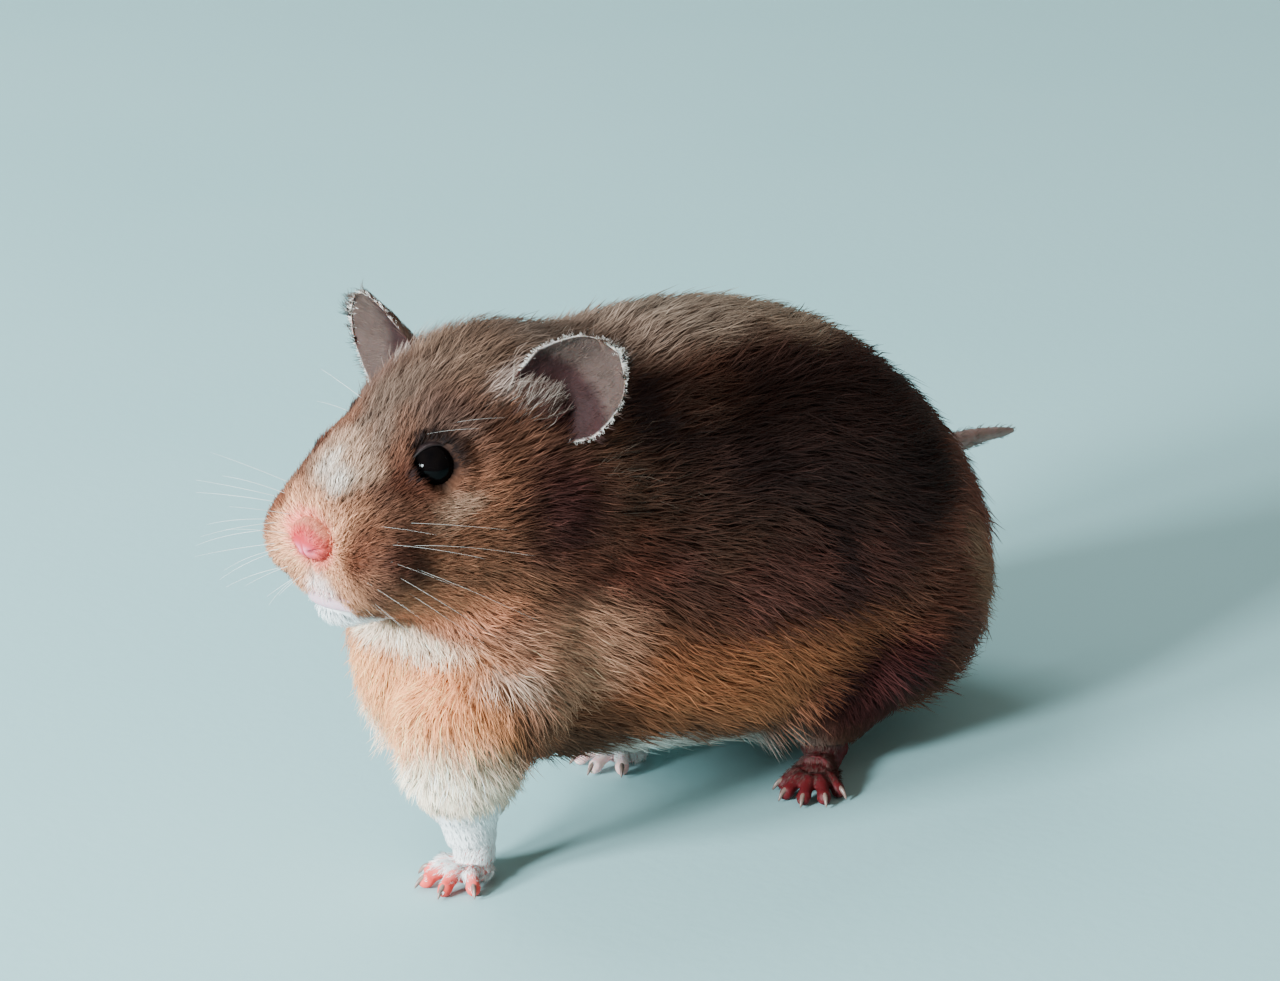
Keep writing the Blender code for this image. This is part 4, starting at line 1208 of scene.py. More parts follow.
@dataclass(frozen=True)
class Coat:
    """The fur as solid tufts over the skin, short and fine on the head, longer on the body."""

    piece_limit: int = 190000
    face_tufts: int = 11600
    body_tufts: int = 8300
    leg_tufts: int = 2100
    face_style: TuftStyle = TuftStyle(5, 0.36, 0.35, 0.12, 0.17, 0.05, 0.21, 0.12, 1.75, 0.52, 1.25,
                                      stray=0.07)
    body_style: TuftStyle = TuftStyle(7, 0.9, 0.5, 0.215, 0.13, 0.05, 0.17, 0.07, 1.6, 0.54, 1.22)
    leg_style: TuftStyle = TuftStyle(6, 0.45, 0.35, 0.15, 0.12, 0.05, 0.1, 0.05, 1.1, 0.85, 1.1)
    face_reach: Pair = (48.0, 36.0)
    fine_reach: Pair = (30.0, 10.0)
    fine_gain: float = 2.2
    eye_reach: Pair = (5.8, 4.2)
    eye_density: float = 2.6
    foot_level: Pair = (12.0, 6.0)
    between_left: float = 40.0
    between_right: float = 76.0
    axis_behind: tuple[float, ...] = (0.0, 30.0, 60.0, 115.0)
    axis_level: tuple[float, ...] = (46.0, 44.0, 34.0, 24.0)
    seed: int = 4

    def weights(self, hide: Hide, lie: HairLie) -> dict[CoatPart, Array]:
        """How dense each kind of coat is at each point of the skin.

        Args:
            hide: The skin.
            lie: The lie of the coat, which knows the legs.

        Returns:
            One density for each vertex and kind.
        """
        far = lie.from_parting(hide.points)
        face = ramp(*self.face_reach, far)
        leg = lie.leg_weight(hide.points) > 0.5
        beside_eye = np.linalg.norm(lie.eye_offset(hide.points), axis=1)
        fine = 1.0 + self.fine_gain * ramp(*self.fine_reach, far)
        fine = fine * (1.0 + self.eye_density * ramp(*self.eye_reach, beside_eye))
        return {
            CoatPart.FACE: np.where(leg, 0.0, face * fine),
            CoatPart.BODY: np.where(leg, 0.0, 1.0 - face),
            CoatPart.LEG: np.where(leg, 1.0 + ramp(*self.foot_level, hide.points[:, 2]), 0.0),
        }

    def build(self, hide: Hide, lie: HairLie, colours: CoatColours, mouth: "Mouth") -> None:
        """Grows all tufts and cuts them into pieces by kind, side and distance from the nose.

        Args:
            hide: The skin they grow on.
            lie: The lie of the coat.
            colours: The markings.
            mouth: The mouth, which stays clear.
        """
        rng = np.random.default_rng(self.seed)
        weights = self.weights(hide, lie)
        for part, count, style in ((CoatPart.FACE, self.face_tufts, self.face_style),
                                   (CoatPart.BODY, self.body_tufts, self.body_style),
                                   (CoatPart.LEG, self.leg_tufts, self.leg_style)):
            roots = hide.scattered(weights[part], count, rng)
            roots = roots.kept(Bald().keeps(roots.place, mouth))
            for label, chosen in self.cut(part, roots, style):
                own = roots.kept(chosen)
                spots = (own.place, own.normal)
                surface = grown(own, lie.direction(*spots), lie.lengths(*spots), lie.heights(*spots),
                                colours.at(own.place), self.unwrapped(part, own.place), style, rng)
                dress(surface.to_object(f"{part.value}_{label}"), FUR, "coat_brown")

    def cut(self, part: CoatPart, roots: Roots, style: TuftStyle) -> list[tuple[str, Array]]:
        """Splits one kind of coat into pieces that stay under the limit of triangles.

        Args:
            part: The kind.
            roots: Its roots.
            style: Its tufts.

        Returns:
            A label and the chosen roots for each piece.
        """
        per_tuft = style.strands * len(STRAND_FACES)
        split = []
        for side in Side:
            own = np.flatnonzero(roots.place[:, 0] * side.value > 0.0)
            if part is CoatPart.LEG:
                between = self.between_left if side is Side.LEFT else self.between_right
                front = roots.place[own, 1] < between
                split += [(f"{side.word}_front", own[front]), (f"{side.word}_hind", own[~front])]
                continue
            ordered = own[np.argsort(roots.place[own, 1], kind="stable")]
            pieces = math.ceil(len(ordered) * per_tuft / self.piece_limit)
            for number, chosen in enumerate(np.array_split(ordered, pieces), start=1):
                split.append((f"{side.word}_{number}", chosen))
        return split

    def unwrapped(self, part: CoatPart, places: Array) -> Array:
        """Places on an unwrap of the skin, each from 0 to 1.

        Body and head unroll about a line along the spine: the angle round it and the distance along it.  A
        leg unrolls about its own upright line.

        Args:
            part: The kind of coat.
            places: The roots of one piece.

        Returns:
            Two coordinates for each root.
        """
        x, y, z = places.T
        if part is CoatPart.LEG:
            middle = places.mean(axis=0)
            flat = np.stack((np.arctan2(x - middle[0], y - middle[1]), z), axis=-1)
        else:
            axis_level = np.interp(y, self.axis_behind, self.axis_level)
            flat = np.stack((np.arctan2(x, z - axis_level), y), axis=-1)
        low, high = flat.min(axis=0), flat.max(axis=0)
        return on_unwrap((flat - low) / (high - low + TINY))


@dataclass(frozen=True)
class Eye:
    """One eye: a glossy ball, slightly fuller in front, and a dark lid with a pointed inner corner."""

    side: Side
    slack: float = 0.02
    bulge: float = 0.1
    bulge_reach: float = 0.9
    rim: float = 2.86
    rim_limit: float = 3.1
    widen: float = 0.06
    corner: float = 0.95
    corner_reach: float = 0.3
    section: tuple[Pair, ...] = ((-0.2, -0.14), (-0.08, 0.03), (0.02, 0.1), (0.12, 0.08), (0.22, -0.08),
                                 (0.34, -0.36), (0.46, -0.9), (0.36, -1.2), (0.06, -1.0), (-0.14, -0.5))
    rows: int = 64
    columns: int = 96

    def axes(self) -> tuple[Array, Array, Array, Array]:
        """The eye's centre, its look, the way to its inner corner and the way up across them."""
        centre, look = self.side.of(EYE_PLACE), unit(self.side.of(EYE_LOOK))
        inner = tangential(self.side.of(EYE_CORNER), look)
        return centre, look, inner, np.cross(look, inner)

    def build(self) -> None:
        """Makes the ball and the lid."""
        node = "eye_" + self.side.word
        dress(self.eyeball().to_object(node + "_ball"), EYE_GLOSS, "eye", node)
        dress(self.lid().to_object("lid_" + self.side.word), LID_SKIN, "eye")

    def eyeball(self) -> Surface:
        """A sphere about the look axis whose radius grows by a bell round the pole in front."""
        centre, look, inner, up = self.axes()
        tilt = np.linspace(0.0, HALF_TURN, self.rows + 2)[1:-1, None, None]
        turn = turns_round(self.columns)[None, :, None]
        bell = self.bulge * np.exp(-((tilt / self.bulge_reach) ** 2))
        ring = inner * np.cos(turn) + up * np.sin(turn)
        radius = EYE_RADIUS - self.slack + bell - self.bulge
        return grid(centre + radius * (look * np.cos(tilt) + ring * np.sin(tilt)))

    def lid(self) -> Surface:
        """A closed collar on the ball: its edge is a circle drawn out sideways and at the inner corner.

        Its section starts under the edge, rolls over a thin wet rim and slopes down under the skin.
        """
        centre, look, inner, up = self.axes()
        turn = turns_round(self.columns)[None, :]
        corner = np.exp(-(((turn + HALF_TURN) % FULL_TURN - HALF_TURN) / self.corner_reach) ** 2)
        edge = self.rim * (1.0 + self.widen * np.cos(2.0 * turn)) + self.corner * corner
        section = np.array(self.section)
        out = edge + section[:, :1]
        base = np.sqrt(np.maximum(EYE_RADIUS**2 - np.minimum(edge, self.rim_limit) ** 2, 0.2))
        rise = base + section[:, 1:]
        ring = inner * np.cos(turn)[..., None] + up * np.sin(turn)[..., None]
        return grid(centre + out[..., None] * ring + rise[..., None] * look, wrap_rows=True)


@dataclass(frozen=True)
class NosePad:
    """The bare nose: an ellipsoid with two comma-shaped nostrils and a groove between them."""

    nostril: Pair = (1.45, -1.05)
    nostril_half: Pair = (0.5, 0.26)
    nostril_depth: float = 0.7
    slit: Pair = (2.1, -0.75)
    slit_half: Pair = (0.55, 0.16)
    groove_depth: float = 0.26
    groove_width: float = 0.22
    # Painted highlight: a pale spot on the lower front of the pad stands for light on its moist skin.
    ridge: Pair = (0.0, -0.95)
    ridge_half: Pair = (1.5, 0.7)
    ridge_share: float = 0.75
    border_reach: Pair = (0.62, 0.98)
    skin: Triple = (0.4, 0.016, 0.024)
    painted_highlight: Triple = (0.96, 0.25, 0.36)
    border: Triple = (0.66, 0.085, 0.068)
    # Painted shade: the colour that darkens the nostrils by how deep they are dented.
    dark: Triple = (0.22, 0.016, 0.02)
    hair: Triple = (0.62, 0.085, 0.072)
    border_hair: Triple = (0.74, 0.25, 0.155)
    tufts: int = 620
    hair_length: float = 1.0
    hair_rise: float = 0.42
    style: TuftStyle = TuftStyle(4, 0.2, 0.2, 0.075, 0.25, 0.06, 0.16, 0.1, 1.3, 0.85, 1.1, softness=0.8)
    seed: int = 61
    rows: int = 90
    columns: int = 120

    def build(self) -> None:
        """Makes the pad and the down on its border.

        Each point of the ellipsoid moves inwards by a bell round each nostril, by a flatter bell for the
        slit that runs out from it, and by a narrow bell along the middle groove.
        """
        shell = ball(NOSE_PLACE, NOSE_HALF, self.rows, self.columns)
        x, y, z = (shell.points - NOSE_PLACE).T
        front = ramp(0.2, -0.8, y)
        beside = np.abs(x)
        hole = self.bell(beside, z, self.nostril, self.nostril_half)
        slit = 0.6 * self.bell(beside, z - 0.25 * (beside - self.nostril[0]), self.slit, self.slit_half)
        groove = np.exp(-((x / self.groove_width) ** 2)) * ramp(0.6, -0.6, z)
        deep = np.maximum(hole, slit)
        inwards = (self.nostril_depth * deep + self.groove_depth * groove) * front
        shell.points = shell.points + unit(NOSE_PLACE - shell.points) * inwards[:, None]
        # The painted highlight on the lower front of the pad, kept out of the groove.
        ridge = self.ridge_share * self.bell(x, z, self.ridge, self.ridge_half) * (1.0 - groove)
        outer = ramp(*self.border_reach, np.hypot(x / NOSE_HALF[0], z / NOSE_HALF[2]))
        colour = np.tile(np.array(self.skin), (len(x), 1))
        # Laid on in turn: the pad's border, the painted highlight, and painted shade that darkens the
        # nostrils by their depth.
        for other, share in ((self.border, outer), (self.painted_highlight, ridge),
                             (self.dark, np.clip(1.3 * deep * front, 0.0, 1.0))):
            colour += (np.array(other) - colour) * share[:, None]
        shell.colours = colour
        dress(shell.to_object("nose_pad"), BARE_SKIN, "pink_skin", "nose")
        down = self.down(Hide.of(shell.points, shell.halves()))
        dress(down.to_object("nose_down"), FUR, "pink_skin")

    def down(self, hide: Hide) -> Surface:
        """Very short hair on the pad's border and crown, lying outwards, so that the pad has no hard edge.

        Args:
            hide: The pad's surface.

        Returns:
            The hair.
        """
        rng = np.random.default_rng(self.seed)
        low = 0.3
        flat = (hide.points - NOSE_PLACE) / NOSE_HALF
        away = np.hypot(flat[:, 0], flat[:, 2] + low)
        density = ramp(0.5, 1.0, away) * ramp(0.45, -0.1, flat[:, 1])
        roots = hide.scattered(density, self.tufts, rng)
        middle = NOSE_PLACE - np.array((0.0, 0.0, low * NOSE_HALF[2]))
        lie = tangential(roots.place - middle, roots.normal)
        lie = turned(lie, roots.normal, 0.4 * lattice_noise(roots.place, 1.2, 62))
        offset = (roots.place - NOSE_PLACE)[:, (0, 2)]
        length = self.hair_length * rng.uniform(0.6, 1.2, self.tufts)
        reach = np.hypot(offset[:, 0] / NOSE_HALF[0], offset[:, 1] / NOSE_HALF[2] + low)
        colour = mixed(self.hair, self.border_hair, ramp(0.8, 1.2, reach)[:, None])
        colour = mottled(colour, roots.place, 0.2, 0.9, 63)
        return grown(roots, lie, length, self.hair_rise * length, colour, 0.5 + 0.14 * offset,
                     self.style, rng)

    @staticmethod
    def bell(x: Array, z: Array, centre: Pair, half: Pair) -> Array:
        """A smooth bell round a centre: the exponential of minus the squared scaled distance."""
        return np.exp(-(((x - centre[0]) / half[0]) ** 2) - ((z - centre[1]) / half[1]) ** 2)


@dataclass(frozen=True)
class Mouth:
    """The line of the mouth with its lips, laid on the skin below the nose."""

    middle: Pair = (5.2, 35.7)
    half_height: float = 3.2
    tilt: float = math.radians(-14.0)
    bare_height: float = 1.7
    centre_back: float = 2.0
    lower_radius: float = 1.0
    upper_radius: float = 0.5
    lower_drop: float = 0.75
    upper_rise: float = 0.42
    lower_sunk: float = 0.3
    upper_sunk: float = 0.45
    half_turn: float = 62.0
    taper: float = 1.15
    near: Triple = (0.0, 6.0, 42.0)
    near_reach: float = 16.0
    points: int = 41
    mauve: Triple = (0.56, 0.36, 0.42)
    rose: Triple = (0.62, 0.3, 0.3)

    def level(self, behind: Array) -> Array:
        """Height of the line of the mouth, which drops evenly towards its corners."""
        top = self.middle[1] + self.half_height / math.cos(self.tilt)
        return top + (behind - self.middle[0]) * math.tan(self.tilt)

    def line(self, tree: BVHTree, rise: float, turns: Array) -> Array:
        """Places on the skin along the mouth, found by looking outwards from inside the muzzle.

        Args:
            tree: The skin, in metres of the model.
            rise: How far above the line of the mouth to look.
            turns: The ways to look, as angles from straight ahead.

        Returns:
            One place for each angle.
        """
        back = self.middle[0] + self.centre_back
        found = []
        for turn in turns:
            way = Vector((math.sin(turn), -math.cos(turn), 0.0))
            start = (0.0, back, float(self.level(back - 5.0 * math.cos(turn))) + rise)
            found.append(np.array(tree.ray_cast(Vector(ANIMAL.metres(start)), way)[0]))
        return ANIMAL.millimetres(np.array(found))

    def build(self, hide: Hide) -> None:
        """Makes both lips: a full lower one and a slim upper one, thinning towards the corners.

        Args:
            hide: The skin.
        """
        middles = hide.points[hide.triangles].mean(axis=1)
        near = np.all(np.abs(middles - np.array(self.near)) < self.near_reach, axis=1)
        tree = BVHTree.FromPolygons(ANIMAL.metres(hide.points).tolist(), hide.triangles[near].tolist())
        turns = np.radians(np.linspace(-self.half_turn, self.half_turn, self.points))
        taper = np.cos(turns * self.taper)
        inwards = np.stack((-np.sin(turns), np.cos(turns), 0.0 * turns), axis=-1)
        lips = []
        for radius, rise, colour, sunk in (
                (self.lower_radius, -self.lower_drop, self.mauve, self.lower_sunk),
                (self.upper_radius, self.upper_rise, self.rose, self.upper_sunk)):
            lip = tube(self.line(tree, rise, turns) + inwards * radius * sunk, radius * taper, 20, 0.92)
            lip.colours = np.tile(np.array(colour), (len(lip.points), 1))
            lips.append(lip)
        dress(Surface.joined(lips).to_object("lips"), BARE_SKIN, "pink_skin")


@dataclass(frozen=True)
class Ear:
    """One ear: a thin cup whose rim rolls forward, with short hair on both faces and round the rim."""

    side: Side
    base: Triple
    along: Triple
    faces: Triple
    length: float = 14.6
    root: float = 3.0
    half_width: float = 6.5
    widest: float = 0.38
    span: float = 0.66
    root_width: float = 0.7
    root_share: float = 0.45
    rise: float = 1.4
    side_drop: float = 1.6
    thickness: float = 0.5
    curl: float = 3.4
    cup: float = 1.3
    rim_roll: float = 0.45
    rib_height: float = 0.1
    # Painted shade in the fold of the cup: full below the second level, gone above the first, slanted
    # across the ear.
    fold: Pair = (0.6, 0.46)
    fold_slant: float = -0.08
    rows: int = 60
    columns: int = 96
    tufts: int = 820
    rim_tufts: int = 300
    inner_density: float = 0.62
    hair_length: float = 1.8
    hair_rise: float = 0.2
    inner_rise: float = 0.11
    rim_length: float = 0.55
    rim_rise: float = 0.35
    style: TuftStyle = TuftStyle(4, 0.28, 0.2, 0.07, 0.2, 0.05, 0.16, 0.08, 1.3, 0.9, 1.1)
    rim_style: TuftStyle = TuftStyle(4, 0.16, 0.1, 0.05, 0.22, 0.05, 0.1, 0, 1, 0.9, 1)
    inner_skin: Triple = (0.054, 0.031, 0.026)
    # Painted shade: the skin in the fold of the cup.
    painted_fold_shade_skin: Triple = (0.02, 0.006, 0.006)
    outer_skin: Triple = (0.12, 0.07, 0.056)
    rim_skin: Triple = (0.4, 0.33, 0.3)
    inner_hair: Triple = (0.082, 0.052, 0.043)
    # Painted shade: the hair in the fold of the cup.
    painted_fold_shade_hair: Triple = (0.03, 0.012, 0.011)
    outer_hair: Triple = (0.17, 0.105, 0.078)
    rim_hair: Triple = (0.62, 0.56, 0.52)
    tick_hair: Triple = (0.035, 0.02, 0.018)
    tick_share: float = 0.22
    seed: int = 70

    def axes(self) -> tuple[Array, Array, Array]:
        """Unit vectors from root to tip, the way the cup opens, and across."""
        along = unit(np.array(self.along))
        opens = tangential(np.array(self.faces), along)
        return along, opens, np.cross(along, opens)

    def half_widths(self, t: Array) -> Array:
        """Half the ear's width along its length: narrow at the root, round at the tip.

        The share is the root of one less the squared distance from the widest level over the span.
        """
        share = np.sqrt(np.clip(1.0 - ((t - self.widest) / self.span) ** 2, 0.0, 1.0))
        grow = np.minimum(t / self.root_share, 1.0)
        return self.half_width * share * (self.root_width + (1.0 - self.root_width) * grow)

    def cup_surface(self) -> tuple[Surface, Array, Array]:
        """The closed leaf: rings run round each level, over the inner face and back over the outer one.

        The levels follow a sine, so they crowd at the tip, where the width closes like a root.

        Returns:
            The surface, and for each point its level and its place across, from -1 to 1.
        """
        along, opens, across = self.axes()
        t = 0.004 + 0.992 * np.sin(0.5 * HALF_TURN * np.linspace(0.0, 1.0, self.rows))[:, None]
        turn = turns_round(self.columns)[None, :]
        s, sine, middle = np.cos(turn), np.sin(turn), np.sin(HALF_TURN * t)
        out = (self.length + self.root) * t - self.root - self.side_drop * s**2 * t**3
        wide = self.half_widths(t) * s + math.copysign(self.rise, across[2]) * t**2
        lean = self.curl * s**2 * (1.0 - t) ** 1.2 + self.cup * middle * (s**2 - 0.3)
        lean += self.rim_roll * (ramp(0.72, 1.0, np.abs(s)) * ramp(0.1, 0.5, t) + ramp(0.8, 1.0, t))
        half_thick = 0.5 * self.thickness * (1.25 - 0.6 * t) * np.sign(sine) * np.abs(sine) ** 0.35
        ribs = self.rib_height * np.sin(9.0 * s + 2.0 * t) * middle
        depth = (lean + ribs + half_thick)[..., None]
        points = np.array(self.base) + out[..., None] * along + wide[..., None] * across + depth * opens
        level = np.append(np.repeat(t, self.columns), (t[0, 0], t[-1, 0]))
        beside = np.append(np.tile(s[0], self.rows), (0.0, 0.0))
        return grid(points), level, beside

    def build(self) -> None:
        """Makes the ear, darkened by painted shade in the fold of its cup and pale along the rim, and its
        hair.
        """
        node = "ear_" + self.side.word
        shell, level, beside = self.cup_surface()
        hide = Hide.of(shell.points, shell.halves())
        inner = ramp(-0.15, 0.15, hide.normals @ self.axes()[1])
        # Painted shade: the inner face darkens in the fold of the cup.
        fold = ramp(*self.fold, level + self.fold_slant * beside) * inner
        risen = ramp(0.2, 0.35, level)
        border = np.maximum(ramp(0.93, 0.985, level), ramp(0.95, 0.995, np.abs(beside))) * risen
        colour = mixed(self.outer_skin, self.inner_skin, inner[:, None])
        colour = mixed(colour, self.painted_fold_shade_skin, fold[:, None])
        colour = mixed(colour, self.rim_skin, border[:, None])
        shell.colours = mottled(colour, shell.points, 0.2, 2.5, 41)
        dress(shell.to_object(node + "_cup"), EAR_SKIN, "ear_skin", node)
        rng = np.random.default_rng(self.seed + self.side.value)
        edge = np.maximum(ramp(0.86, 0.97, level), ramp(0.88, 0.99, np.abs(beside))) * risen
        hair = Surface.joined([self.down(hide, inner, level, rng), self.rim(hide, edge, rng)])
        dress(hair.to_object(node + "_down"), FUR, "ear_skin")

    def offsets(self, places: Array) -> Array:
        """Places as distances along, across and towards the opening of the ear, from its base."""
        along, opens, across = self.axes()
        return (places - np.array(self.base)) @ np.stack((along, across, opens), axis=-1)

    def reach(self, flat: Array) -> Array:
        """How far along the ear its offsets lie, from 0 at the root to 1 at the tip."""
        return (flat[:, 0] + self.root) / (self.length + self.root)

    def unwrapped(self, roots: Roots) -> Array:
        """Roots on an unwrap of the leaf: both faces side by side, level against place across."""
        flat = self.offsets(roots.place)
        inside = roots.normal @ self.axes()[1] > 0.0
        u = 0.25 + 0.22 * np.clip(flat[:, 1] / self.half_width, -1.0, 1.0) + np.where(inside, 0.5, 0.0)
        return np.stack((u, on_unwrap(np.clip(self.reach(flat), 0.0, 1.0))), axis=-1)

    def down(self, hide: Hide, inner: Array, level: Array, rng: Draw) -> Surface:
        """Short hair lying towards the rim: thick on the back, thin and dark inside, and darker still in
        the cup's fold by painted shade.

        Args:
            hide: The leaf.
            inner: How far each of its points belongs to the inner face.
            level: How far along the ear each point is.
            rng: The seeded draw.

        Returns:
            The hair.
        """
        along, opens, across = self.axes()
        density = (1.0 - inner) + self.inner_density * inner * ramp(0.05, 0.4, level)
        roots = hide.scattered(density * ramp(0.02, 0.12, level), self.tufts, rng)
        inside = ramp(-0.1, 0.1, roots.normal @ opens)
        flat = self.offsets(roots.place)
        aside = flat[:, 1] / self.half_width
        lie = tangential(along + 0.7 * aside[:, None] * across, roots.normal)
        lie = turned(lie, roots.normal, 0.35 * lattice_noise(roots.place, 2.0, 42))
        # The hair in the fold takes the same painted shade.
        fold = ramp(*self.fold, self.reach(flat) + self.fold_slant * aside) * inside
        colour = mixed(self.outer_hair, self.inner_hair, inside[:, None])
        colour = mixed(colour, self.painted_fold_shade_hair, fold[:, None])
        colour = mottled(colour, roots.place, 0.25, 1.6, 43)
        length = np.full(len(inside), self.hair_length)
        height = length * (self.hair_rise - (self.hair_rise - self.inner_rise) * inside)
        return grown(roots, lie, length, height, colour, self.unwrapped(roots), self.style, rng)

    def rim(self, hide: Hide, edge: Array, rng: Draw) -> Surface:
        """Pale hair standing out round the rim, in the plane of the leaf, away from its middle.

        Args:
            hide: The leaf.
            edge: How far each of its points belongs to the rim.
            rng: The seeded draw.

        Returns:
            The hair.
        """
        along, opens, across = self.axes()
        roots = hide.scattered(edge, self.rim_tufts, rng)
        flat = self.offsets(roots.place) - np.array((0.5 * self.length, 0.0, 0.0))
        lie = unit(flat[:, :1] * along + flat[:, 1:2] * across + 2.0 * along)
        level_roots = Roots(roots.place, np.broadcast_to(opens, lie.shape), 0.0 * roots.bend)
        length = self.rim_length * rng.uniform(0.7, 1.2, len(lie))
        tick = (rng.random(len(lie)) < self.tick_share)[:, None]
        colour = np.where(tick, np.array(self.tick_hair), np.array(self.rim_hair))
        return grown(level_roots, lie, length, self.rim_rise * length, colour, self.unwrapped(roots),
                     self.rim_style, rng)


@dataclass(frozen=True)
class Foot:
    """One paw: a flat sole with jointed toes, pads under them, curved claws and short hair on top."""

    node: str
    ankle: Pair
    heel: Pair
    ball: Pair
    facing: float
    toes: tuple[Pair, ...]
    shank_radius: float
    pad_half: Triple
    top: Triple
    sole: Triple
    tips: Triple
    hair: Triple
    tufts: int
    hair_length: float = 1.5
    hair_rise: float = 0.24
    voxel: float = 0.2
    softening: int = 6
    toe_radius: float = 1.0
    toe_start: float = 0.8
    toe_share: tuple[float, ...] = (0.02, 0.22, 0.48, 0.74, 0.92, 1.02)
    toe_level: tuple[float, ...] = (1.75, 1.9, 2.0, 1.55, 1.05, 0.95)
    toe_girth: tuple[float, ...] = (1.15, 1.02, 1.0, 0.86, 0.98, 0.62)
    tip_half: Triple = (0.88, 0.88, 0.8)
    tip_drop: float = 0.12
    root_half: Triple = (1.05, 1.05, 0.95)
    root_drop: float = 0.75
    claw_length: float = 1.75
    claw_radius: float = 0.4
    shank_level: Triple = (7.2, 4.6, 2.6)
    sole_level: Triple = (1.8, 1.9, 1.8)
    sole_radius: Pair = (1.9, 2.5)
    heel_half: Triple = (2.0, 2.0, 1.72)
    heel_level: float = 1.75
    ball_level: float = 1.6
    wrinkle: float = 0.05
    seed: int = 90
    floor_gap: float = 0.02
    style: TuftStyle = TuftStyle(4, 0.3, 0.4, 0.1, 0.16, 0.04, 0.12, 0, 1, 0.8, 1.05)

    def way(self, spread: float) -> Array:
        """The level direction of a toe, spread degrees to the animal's left of the paw's own."""
        heading = math.radians(self.facing + spread)
        return np.array((math.sin(heading), -math.cos(heading), 0.0))

    def toe_path(self, spread: float, length: float) -> Array:
        """Middle line and radius of a toe: over a raised knuckle and a second joint down to its tip."""
        forward = self.toe_start + np.array(self.toe_share) * length
        places = np.array((*self.ball, 0.0)) + self.way(spread) * forward[:, None]
        places[:, 2] = self.toe_level
        return curve_through(np.column_stack((places, self.toe_radius * np.array(self.toe_girth))), 26)

    def claw(self, spread: float, length: float) -> Surface:
        """A claw: a narrowing profile, higher than wide, along an arc from the toe's tip to the floor."""
        share = np.linspace(0.0, 1.0, 12)
        start = np.array((*self.ball, 0.0)) + self.way(spread) * (self.toe_start + 0.9 * length)
        path = start + self.way(spread) * (self.claw_length * share)[:, None]
        path[:, 2] = 1.3 + 0.25 * np.sin(HALF_TURN * share) - 0.98 * share**2.0
        return tube(path, self.claw_radius * (1.0 - share) ** 0.6 + 0.05, 14, 1.25)

    def shells(self) -> list[Surface]:
        """The closed shells that grow together: shank, sole, pads and toes."""
        ankle, heel, middle = (np.array(spot) for spot in (self.ankle, self.heel, self.ball))
        down_shank = (ankle, ankle, 0.7 * ankle + 0.3 * heel)
        along_sole = (heel, 0.5 * heel + 0.5 * middle, middle)
        shank = curve_through(np.column_stack((down_shank, self.shank_level)), 12)
        sole = curve_through(np.column_stack((along_sole, self.sole_level)), 16)
        made = [tube(shank, np.linspace(self.shank_radius, self.shank_radius - 0.1, 12), 24),
                tube(sole, np.linspace(*self.sole_radius, 16), 24),
                ball((*middle, self.ball_level), self.pad_half, 20, 32),
                ball((*heel, self.heel_level), self.heel_half, 20, 32)]
        for spread, length in self.toes:
            path = self.toe_path(spread, length)
            made.append(tube(path[:, :3], path[:, 3], 18))
            made.append(ball(path[-5, :3] - self.tip_drop * UP, self.tip_half, 12, 18))
            made.append(ball(path[3, :3] - self.root_drop * UP, self.root_half, 12, 18))
        return made

    def build(self) -> None:
        """Makes the paw, its claws and its hair."""
        joined = Surface.joined(self.shells())
        piece = grown_together(joined.to_object(self.node + "_skin"), self.voxel, self.softening)
        points, triangles = mesh_arrays(piece.data)
        points = ANIMAL.millimetres(points)
        points[:, 2] = np.maximum(points[:, 2], self.floor_gap)
        hide = Hide.of(points, triangles)
        wrinkle = self.wrinkle * lattice_noise(points, 0.5, 51) * ramp(0.2, 0.5, points[:, 2])
        reshape(piece, points + hide.normals * wrinkle[:, None], self.colours(hide))
        dress(piece, BARE_SKIN, "pink_skin", self.node)
        claws = Surface.joined([self.claw(*toe) for toe in self.toes])
        dress(claws.to_object(self.node + "_claws"), CLAW_HORN, "pink_skin")
        dress(self.down(hide).to_object(self.node + "_down"), FUR, "pink_skin")

    def forward(self, places: Array) -> Array:
        """Distance of places from the paw's ball."""
        return np.hypot(places[:, 0] - self.ball[0], places[:, 1] - self.ball[1])

    def colours(self, hide: Hide) -> Array:
        """The paw's skin: its top, its sole below and the tips of its toes, each in its own colour; the
        paler top, set by how far the skin faces up, is partly painted highlight.
        """
        colour = mixed(self.sole, self.top, ramp(-0.2, 0.6, hide.normals[:, 2])[:, None])
        colour = mixed(colour, self.tips, ramp(3.2, 6.2, self.forward(hide.points))[:, None])
        return mottled(colour, hide.points, 0.22, 1.3, 52)

